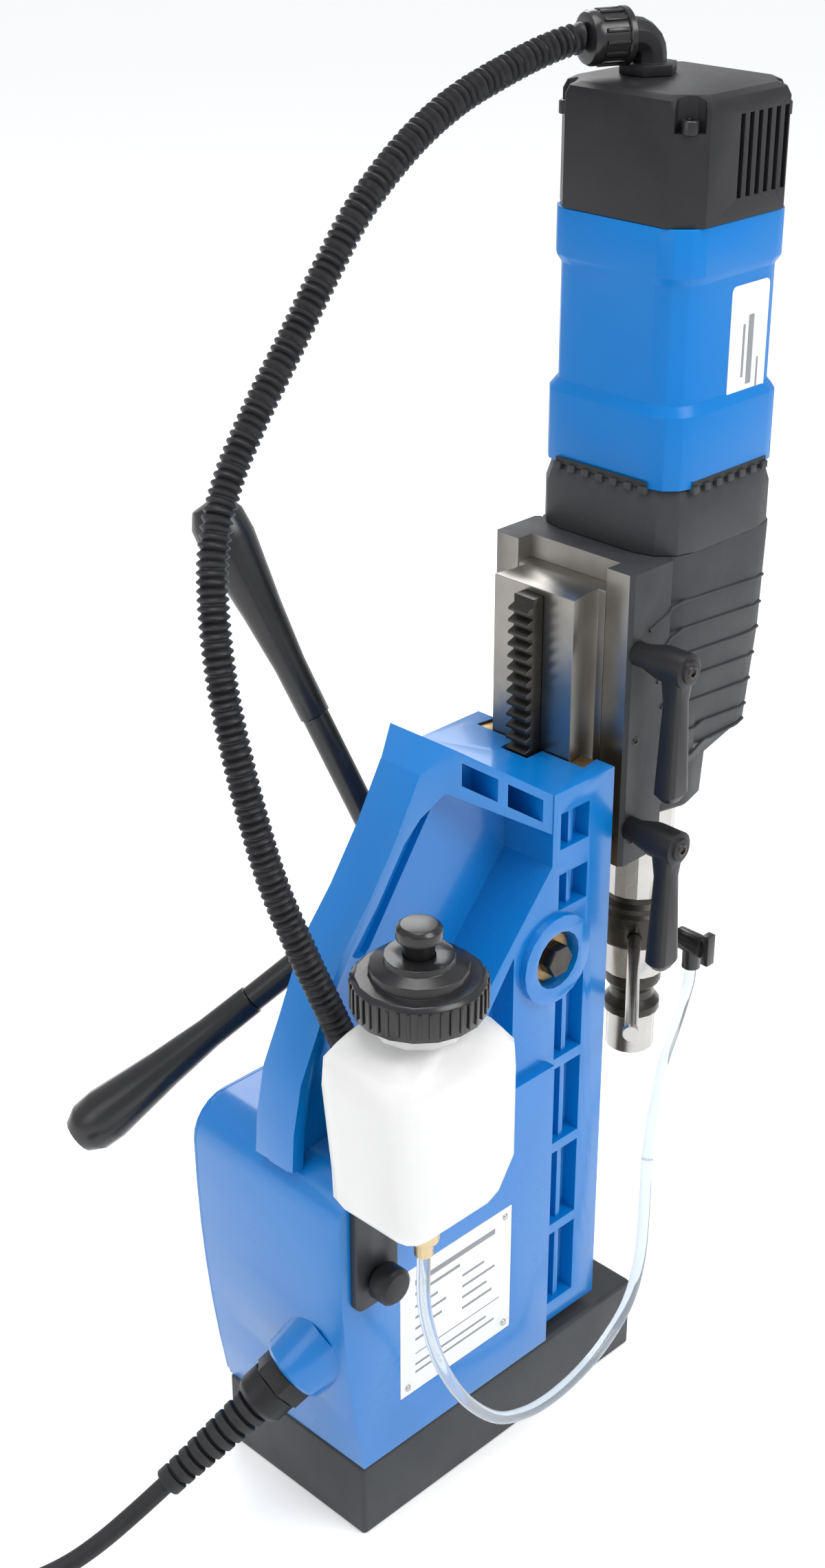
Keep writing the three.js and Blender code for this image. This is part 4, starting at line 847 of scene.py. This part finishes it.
class DRILLPRESS_OT_conduit(DrillOperator, bpy.types.Operator):
    """Adds the corrugated conduit from the control box to the motor"""

    bl_idname = "drillpress.conduit"
    bl_label = "Conduit"
    made = ("conduit_below", "conduit_above")

    def build(self, context):
        pitch = context.scene.drill_press_sizes.conduit_pitch / MM

        def nut(distance):
            return ELBOW_TOP + ELBOW_WAY * distance * MM

        def passing(distance):
            return CONDUIT_MEET + CONDUIT_WAY * distance * MM

        upper = [nut(34.6), nut(39), mm(36.5, -106, 702), mm(40, -82, 695), mm(42, -52, 685),
                 mm(42, -22, 670), mm(41, 8, 648), mm(40, 31, 623), mm(38, 54, 597), mm(35, 76, 574),
                 mm(32, 94, 553), passing(-5), passing(0)]
        lower = [passing(0), passing(5), mm(23, 116, 514), mm(17, 121, 490), mm(11, 123, 463),
                 mm(4, 123, 435), mm(-3, 121, 405), mm(-11, 117, 372), mm(-20, 110, 340),
                 mm(-28, 101, 308), mm(-32.5, 90, 276), mm(-34, 83, 260), mm(-34, 82, 249.3),
                 mm(-34, 82, 245.6)]
        up_path, up_length = smooth_path(upper, 0.0008)
        low_path, low_length = smooth_path(lower, 0.0008)
        above = swept("conduit_above", up_path, ribbed(up_length, pitch), 18)
        below = swept("conduit_below", low_path, ribbed(low_length, pitch), 18)
        for tube, node in ((above, "conduit_upper"), (below, "conduit_lower")):
            tube.data.materials.append(finish_of("black_plastic"))
            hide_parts(node)
        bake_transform(below)
        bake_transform(above)


class DRILLPRESS_OT_coolant_hose(DrillOperator, bpy.types.Operator):
    """Adds the coolant hose from the bottle to the tap"""

    bl_idname = "drillpress.coolant_hose"
    bl_label = "Coolant hose"
    made = ("hose_below", "hose_above")

    def build(self, context):
        radius = context.scene.drill_press_sizes.hose_diameter / 2

        def passing(distance):
            return HOSE_MEET + HOSE_WAY * distance * MM

        lower = [mm(-86, 97, 195.7), mm(-86, 97, 170), mm(-86, 93, 147), mm(-85, 83, 118), mm(-83, 64, 84),
                 mm(-80, 38, 54), mm(-78, 14, 40), mm(-76, -9, 34), mm(-74, -34, 34), mm(-72, -58, 40),
                 mm(-70, -79, 54), mm(-68, -90, 76), mm(-64, -97, 105), passing(-4), passing(0)]
        upper = [passing(0), passing(4), mm(-57, -109, 155), mm(-50, -126, 182), mm(-43, -146, 200),
                 mm(-38.6, -158, 211), mm(-38, -160, 218), mm(-38, -160, 220.4)]
        low_path, low_length = smooth_path(lower, 0.004)
        up_path, up_length = smooth_path(upper, 0.004)
        below = swept("hose_below", low_path, lambda s: radius, 20)
        above = swept("hose_above", up_path, lambda s: radius, 20)
        for tube, node in ((below, "coolant_hose_lower"), (above, "coolant_hose_upper")):
            tube.data.materials.append(finish_of("clear_hose"))
            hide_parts(node)
        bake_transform(below)
        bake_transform(above)


# ---------------------------------------------------------------- stand
class DRILLPRESS_OT_stand(DrillOperator, bpy.types.Operator):
    """Adds the painted casting, its magnet foot, its cover, gibs and glands"""

    bl_idname = "drillpress.stand"
    bl_label = "Stand"
    made = ("stand_paint", "foot_paint")

    def build(self, context):
        size = context.scene.drill_press_sizes
        paint = dress("stand_paint", "stand_casting", "stand", "blue_paint", size.paint_round / MM, 3, 30)
        self.bare_ways(paint)
        dress("foot_paint", "magnet_base", "stand", "dark_paint", 0.9)
        dress("cover_paint", "control_cover", "stand", "blue_paint", 0.8)
        dress("left_gib", "gib_left", "stand", "bronze", 0.4)
        dress("right_gib", "gib_right", "stand", "bronze", 0.4)
        dress("gland_body", "mains_gland", "stand", "black_plastic")
        dress("gland_nut", "mains_gland_nut", "stand", "black_plastic")
        dress("conduit_gland_nut", "conduit_gland", "stand", "black_plastic")
        keep("magnet_coil", "copper")
        keep("control_board", "board_green")
        keep("pinion_bush_left", "bronze")
        keep("pinion_bush_right", "bronze")

    def bare_ways(self, paint):
        """Shows machined metal on the guide faces and on the column's ends, top and front."""
        second_finish(paint, finish_of("machined_steel"),
                      lambda face: face.center.y < -0.0535 and face.normal.z < 0.5
                      and (abs(face.center.x) < 0.0362 or face.normal.y < -0.9))


class DRILLPRESS_OT_nameplate(DrillOperator, bpy.types.Operator):
    """Adds the nameplate with its rivets and plain printed bars"""

    bl_idname = "drillpress.nameplate"
    bl_label = "Nameplate"
    made = ("plate", "plate_print")

    def build(self, context):
        dress("plate", "nameplate", "stand", "white_enamel", 0.25)
        bars = []
        rows = ((142, 8, 66, 1.6), (135, 8, 40, 0.9), (127, 8, 24, 0.7), (127, 42, 58, 0.7),
                (120, 8, 30, 0.7), (120, 42, 66, 0.7), (113, 8, 27, 0.7), (113, 42, 60, 0.7),
                (106, 8, 22, 0.7), (106, 42, 64, 0.7), (97, 8, 70, 0.25), (90, 8, 60, 0.6),
                (85, 8, 66, 0.6))
        for k, (height, start, stop, half) in enumerate(rows):
            low, high = (-51.72, 76 - stop, height - half), (-51.5, 76 - start, height + half)
            bars.append(block(f"bar_{k}", low, high, 0))
        printed = together("plate_print", *bars)
        finish(printed, "stand", "white_enamel", look="print_grey")
        for k, (y, z) in enumerate(((2.5, 78), (73.5, 78), (2.5, 147), (73.5, 147))):
            profile = [(1.2, -0.5), (1.9, 0.05), (1.8, 0.5), (1.2, 0.95), (0.2, 1.1)]
            rivet = turned(f"plate_rivet_{k + 1}", profile, (-51.6, y, z), (-1, 0, 0), 20)
            soften(rivet, 0, 1, 50)
            finish(rivet, "stand", "steel")


# ---------------------------------------------------------------- slide
class DRILLPRESS_OT_slide(DrillOperator, bpy.types.Operator):
    """Adds the dovetail slide, its rack and the two clamp levers"""

    bl_idname = "drillpress.slide"
    bl_label = "Slide"
    made = ("slide_metal", "rack_metal")

    def build(self, context):
        dress("slide_metal", "slide_bar", "slide", "machined_steel", 0.4)
        dress("rack_metal", "rack", "slide", "oiled_steel", 0.15, 1)
        for word, z in (("upper", 431), ("lower", 335)):
            node = f"clamp_lever_{word}"
            dress(f"clamp_{word}", node, f"{word}_clamp", "black_plastic", 0.6, 2, 35)
            socket_screw(f"clamp_screw_{word}", (-78.6, -91.8, z), (-1, 0, 0), 3.6, 1.0, f"{word}_clamp")


# ---------------------------------------------------------------- drill head
class DRILLPRESS_OT_gear_housing(DrillOperator, bpy.types.Operator):
    """Adds the dark gear housing with its ribs and head"""

    bl_idname = "drillpress.gear_housing"
    bl_label = "Gear housing"
    made = ("gear_case", "gear_head")

    def build(self, context):
        dress("gear_case", "gear_housing", "motor_unit", "cast_grey", 0.9, 3)
        dress("gear_head", "gearbox_head", "motor_unit", "cast_grey", 0.6)
        dress("collar_black", "coolant_collar", "motor_unit", "oiled_steel", 0.4)
        dress("stop_bar", "stop_rod", "motor_unit", "steel", 0.25)
        tap = dress("tap", "coolant_tap", "motor_unit", "bronze", 0.3, look="glossy_black")
        second_finish(tap, finish_of("housing_blue"), lambda face: face.center.z < 0.2245)
        case = bpy.data.objects["gear_case"]
        self.ridges(case)
        self.ears(case)
        for k, height in enumerate((383, 327)):
            socket_screw(f"ear_screw_{k + 1}", (-44.6, -93.5, height), (-1, 0, 0), 2.4, 0.9, "motor_unit")

    def ridges(self, case):
        """Thin raised lines that sweep round both sides of the case, each lying on its skin."""
        lines = []
        for side in (-1, 1):
            for k, height in enumerate((449, 434, 419, 404, 389, 374, 359)):
                route = []
                start = -100 - 4 * k if k < 4 else -114
                for i in range(25):
                    share = i / 24
                    y = start + (-199 - start) * share
                    lift = 9 * (1 - min(share / 0.22, 1)) + 7 * share
                    aim = mm(side * 60, y, height - lift)
                    hit, place, normal, _ = case.closest_point_on_mesh(aim)
                    if hit and normal.x * side > 0.3:
                        route.append(place + normal * 0.00025)
                if len(route) > 4:
                    path, _ = smooth_path(route, 0.004)
                    lines.append(swept("ridge", path, lambda s: 0.00085, 8))
        ridges = together("case_ridges", *lines)
        finish(ridges, "motor_unit", "cast_grey")

    def ears(self, case):
        """Shows machined metal on the rear faces of the clamping ears and the ways between them."""
        second_finish(case, finish_of("machined_steel"),
                      lambda face: (face.normal.y > 0.9 and face.center.y > -0.0875)
                      or (abs(face.center.x) < 0.0302 and face.center.y > -0.099
                          and abs(face.normal.z) < 0.5))


class DRILLPRESS_OT_motor(DrillOperator, bpy.types.Operator):
    """Adds the blue motor shell, its top cover, label and cable elbow"""

    bl_idname = "drillpress.motor"
    bl_label = "Motor"
    made = ("motor_shell", "motor_cap")

    def build(self, context):
        dress("motor_shell", "motor_housing", "motor_unit", "blue_paint", 0.7, look="housing_blue")
        dress("motor_cap", "top_cover", "motor_unit", "black_plastic", 0.8, 3)
        self.cover_screws()
        self.shell_label()
        self.vent_lip()
        dress("elbow", "conduit_elbow", "motor_unit", "black_plastic", 0.4)
        self.elbow_nut()
        keep("armature", "copper")
        keep("layshaft", "steel")

    def cover_screws(self):
        """Cap screws in the four corner wells of the top cover."""
        for k, (x, y) in enumerate(((-36.4, -122.3), (36.4, -122.3), (-36.4, -191.7), (36.4, -191.7))):
            socket_screw(f"cover_screw_{k + 1}", (x, y, 672.1), (0, 0, 1), 4.2, 6.0, "motor_unit",
                         "glossy_black")

    def shell_label(self):
        """A plain white label with round corners and three plain bars, flat on the shell's side."""
        edge = -41.5
        corners = soft_ring(-169.0, 564.5, 14.5, 33.0, 3.0, 0, 6)
        rings = [[Vector((depth * MM, p.x, p.y)) for p in corners] for depth in (edge + 0.3, edge - 0.35)]
        label = stack("shell_label", rings)
        soften(label, 0.12, 1)
        finish(label, "motor_unit", "white_enamel")
        bars = [block("stripe", (edge - 0.5, -172.5, 548), (edge - 0.2, -168.5, 582), 0),
                block("stripe", (edge - 0.5, -166.0, 552), (edge - 0.2, -164.4, 578), 0),
                block("stripe", (edge - 0.5, -177.5, 545), (edge - 0.2, -176.2, 560), 0)]
        printed = together("label_print", *bars)
        finish(printed, "motor_unit", "white_enamel", look="print_grey")

    def elbow_nut(self):
        """The conduit's union nut: a collar, a barrel with long grip ribs and a rolled end."""
        at = tuple(ELBOW_TOP / MM)
        profile = [(9.0, 12.1), (12.6, 12.2), (13.4, 12.9), (13.4, 15.4), (12.7, 16.0), (12.0, 16.2),
                   (12.0, 28.2), (12.6, 28.6), (12.6, 31.4), (11.6, 33.4), (9.6, 34.0), (7.6, 34.0)]
        nut = turned("elbow_nut", profile, at, ELBOW_WAY, 40)
        soften(nut, 0, 1, 40)
        turn = Vector((0, 0, 1)).rotation_difference(ELBOW_WAY).to_matrix().to_4x4()
        rib = block("rib", (11.2, -1.0, 16.4), (13.1, 1.0, 28.0), 0.45, 2)
        grip = around("elbow_nut_ribs", rib, 14, Matrix.Translation(ELBOW_TOP) @ turn)
        finish(nut, "motor_unit", "black_plastic", "conduit_nut", look="glossy_black")
        finish(grip, "motor_unit", "black_plastic", look="glossy_black")

    def vent_lip(self):
        """Short teeth on the gearbox head's upper rim, with a black strip above them on each side as
        painted shade of the air gap.
        """
        teeth = []
        for side in ((0, 1), (-1, 0), (1, 0), (0, -1)):
            for k in range(7):
                along = -27 + 9 * k
                if side[0]:
                    x, y = side[0] * 44.2, SPINDLE_Y + along
                else:
                    x, y = along, SPINDLE_Y + side[1] * 44.2
                dx, dy = (1.9, 2.3) if side[0] else (2.3, 1.9)
                teeth.append(block("tooth", (x - dx, y - dy, 502.5), (x + dx, y + dy, 506.3)))
        # Thin black strips laid just proud of the shell: painted shade where the air gap above the teeth
        # falls dark.
        gap_shade_strips = []
        for x, y in ((0, 44.55), (0, -44.55), (44.55, 0), (-44.55, 0)):
            dx, dy = (29, 0.25) if y else (0.25, 29)
            low = (x - dx, SPINDLE_Y + y - dy, 505.2)
            high = (x + dx, SPINDLE_Y + y + dy, 508.6)
            gap_shade_strips.append(block("gap_shade_strip", low, high, 0.2, 1))
        shade = together("vent_gap_shade", *gap_shade_strips)
        soften(shade, 0, 1)
        finish(shade, "motor_unit", "black_plastic", look="black_rubber")
        lip = together("vent_teeth", *teeth)
        soften(lip, 0, 1)
        finish(lip, "motor_unit", "cast_grey")


class DRILLPRESS_OT_spindle(DrillOperator, bpy.types.Operator):
    """Adds the arbor, the steel band and the chuck nose"""

    bl_idname = "drillpress.spindle"
    bl_label = "Spindle"
    made = ("arbor_steel", "chuck")

    def build(self, context):
        keep("spindle", "steel")
        dress("arbor_steel", "arbor", "spindle_group", "steel", 0.3)
        chuck = dress("chuck", "chuck_sleeve", "spindle_group", "oiled_steel", 0.3)
        second_finish(chuck, finish_of("steel"), lambda face: face.center.z < 0.1812)


class DRILLPRESS_OT_feed(DrillOperator, bpy.types.Operator):
    """Adds the feed hub, its three rods and grips, and the shaft end"""

    bl_idname = "drillpress.feed"
    bl_label = "Feed handles"
    made = ("hub",)

    def build(self, context):
        keep("pinion_gear", "steel")
        keep("pinion_shaft", "steel")
        dress("washer", "shaft_washer", "feed_wheel", "steel", 0.2, look="bronze")
        dress("bolt", "shaft_bolt", "feed_wheel", "oiled_steel", 0.4)
        dress("hub", "feed_hub", "feed_wheel", "oiled_steel", 0.6)
        for k in (1, 2, 3):
            dress(f"rod_{k}", f"feed_rod_{k}", "feed_wheel", "oiled_steel", 0.3, look="glossy_black")
            dress(f"grip_{k}", f"feed_grip_{k}", "feed_wheel", "black_plastic", 0.5, 2, 40,
                  look="glossy_black")


class DRILLPRESS_OT_controls(DrillOperator, bpy.types.Operator):
    """Adds the magnet switch and the start and stop buttons"""

    bl_idname = "drillpress.controls"
    bl_label = "Controls"
    made = ("switch",)

    def build(self, context):
        dress("switch", "magnet_switch", "magnet_rocker", "black_plastic")
        dress("start", "start_button", "start_push", "green_plastic")
        dress("stop", "stop_button", "stop_push", "red_plastic")
        for k, (y, z) in enumerate(((-25, 53), (-25, 214), (94, 53), (98, 203), (36, 53), (36, 214))):
            pan_screw(f"panel_screw_{k + 1}", (54.95, y, z), (1, 0, 0), 3.4)


class DRILLPRESS_OT_bottle(DrillOperator, bpy.types.Operator):
    """Adds the coolant bottle, its cap and nozzle, its bracket and knob"""

    bl_idname = "drillpress.bottle"
    bl_label = "Coolant bottle"
    made = ("bottle_shell", "cap_ribbed")

    def build(self, context):
        dress("bottle_shell", "bottle", "stand", "milky_plastic", 0.8, 3, 40)
        self.cap()
        dress("nozzle_tip", "bottle_nozzle", "nozzle", "black_plastic", 0.4, look="glossy_black")
        dress("bracket_plate", "bottle_bracket", "stand", "dark_paint", 0.4)
        dress("knob_black", "bracket_knob", "knob", "black_plastic", 0.4)
        dress("outlet", "outlet_fitting", "stand", "bronze", 0.3, look="brass")

    def cap(self):
        """A screw cap with upright ribs round its skirt."""
        cap = dressed("cap_ribbed", "bottle_cap", 0.4, 2)
        finish(cap, "cap", "black_plastic", "bottle_cap", look="glossy_black")
        rib = block("rib", (30.0, -0.75, 336.0), (31.1, 0.75, 348.6), 0.35, 2)
        skirt = around("cap_ribs", rib, 40, Matrix.Translation(mm(*BOTTLE_AXIS, 0)))
        finish(skirt, "cap", "black_plastic", look="glossy_black")


# ---------------------------------------------------------------- panel
STEPS = (DRILLPRESS_OT_stage, DRILLPRESS_OT_mains_cord, DRILLPRESS_OT_conduit, DRILLPRESS_OT_coolant_hose,
         DRILLPRESS_OT_stand, DRILLPRESS_OT_nameplate, DRILLPRESS_OT_slide, DRILLPRESS_OT_gear_housing,
         DRILLPRESS_OT_motor, DRILLPRESS_OT_spindle, DRILLPRESS_OT_feed, DRILLPRESS_OT_controls,
         DRILLPRESS_OT_bottle)


class DRILLPRESS_PT_panel(bpy.types.Panel):
    """Lists the steps of the drill press with its sizes and colours"""

    bl_idname = "DRILLPRESS_PT_panel"
    bl_label = "Magnetic Drill Press"
    bl_space_type = "VIEW_3D"
    bl_region_type = "UI"
    bl_category = "Drill Press"

    def draw(self, context):
        layout = self.layout
        for settings in (context.scene.drill_press_sizes, context.scene.drill_press_colours):
            box = layout.box()
            for name in settings.__annotations__:
                box.prop(settings, name)
        for step in STEPS:
            layout.operator(step.bl_idname)


CLASSES = (DrillPressSizes, DrillPressColours, *STEPS, DRILLPRESS_PT_panel)


def register():
    """Adds the classes and the scene's settings."""
    for each in CLASSES:
        bpy.utils.register_class(each)
    bpy.types.Scene.drill_press_sizes = bpy.props.PointerProperty(type=DrillPressSizes)
    bpy.types.Scene.drill_press_colours = bpy.props.PointerProperty(type=DrillPressColours)


def unregister():
    """Takes the classes and the settings away."""
    del bpy.types.Scene.drill_press_colours
    del bpy.types.Scene.drill_press_sizes
    for each in reversed(CLASSES):
        bpy.utils.unregister_class(each)


def main():
    """Registers the add-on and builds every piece."""
    register()
    for step in STEPS:
        group, name = step.bl_idname.split(".")
        getattr(getattr(bpy.ops, group), name)()
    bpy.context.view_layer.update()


if __name__ == "__main__":
    main()
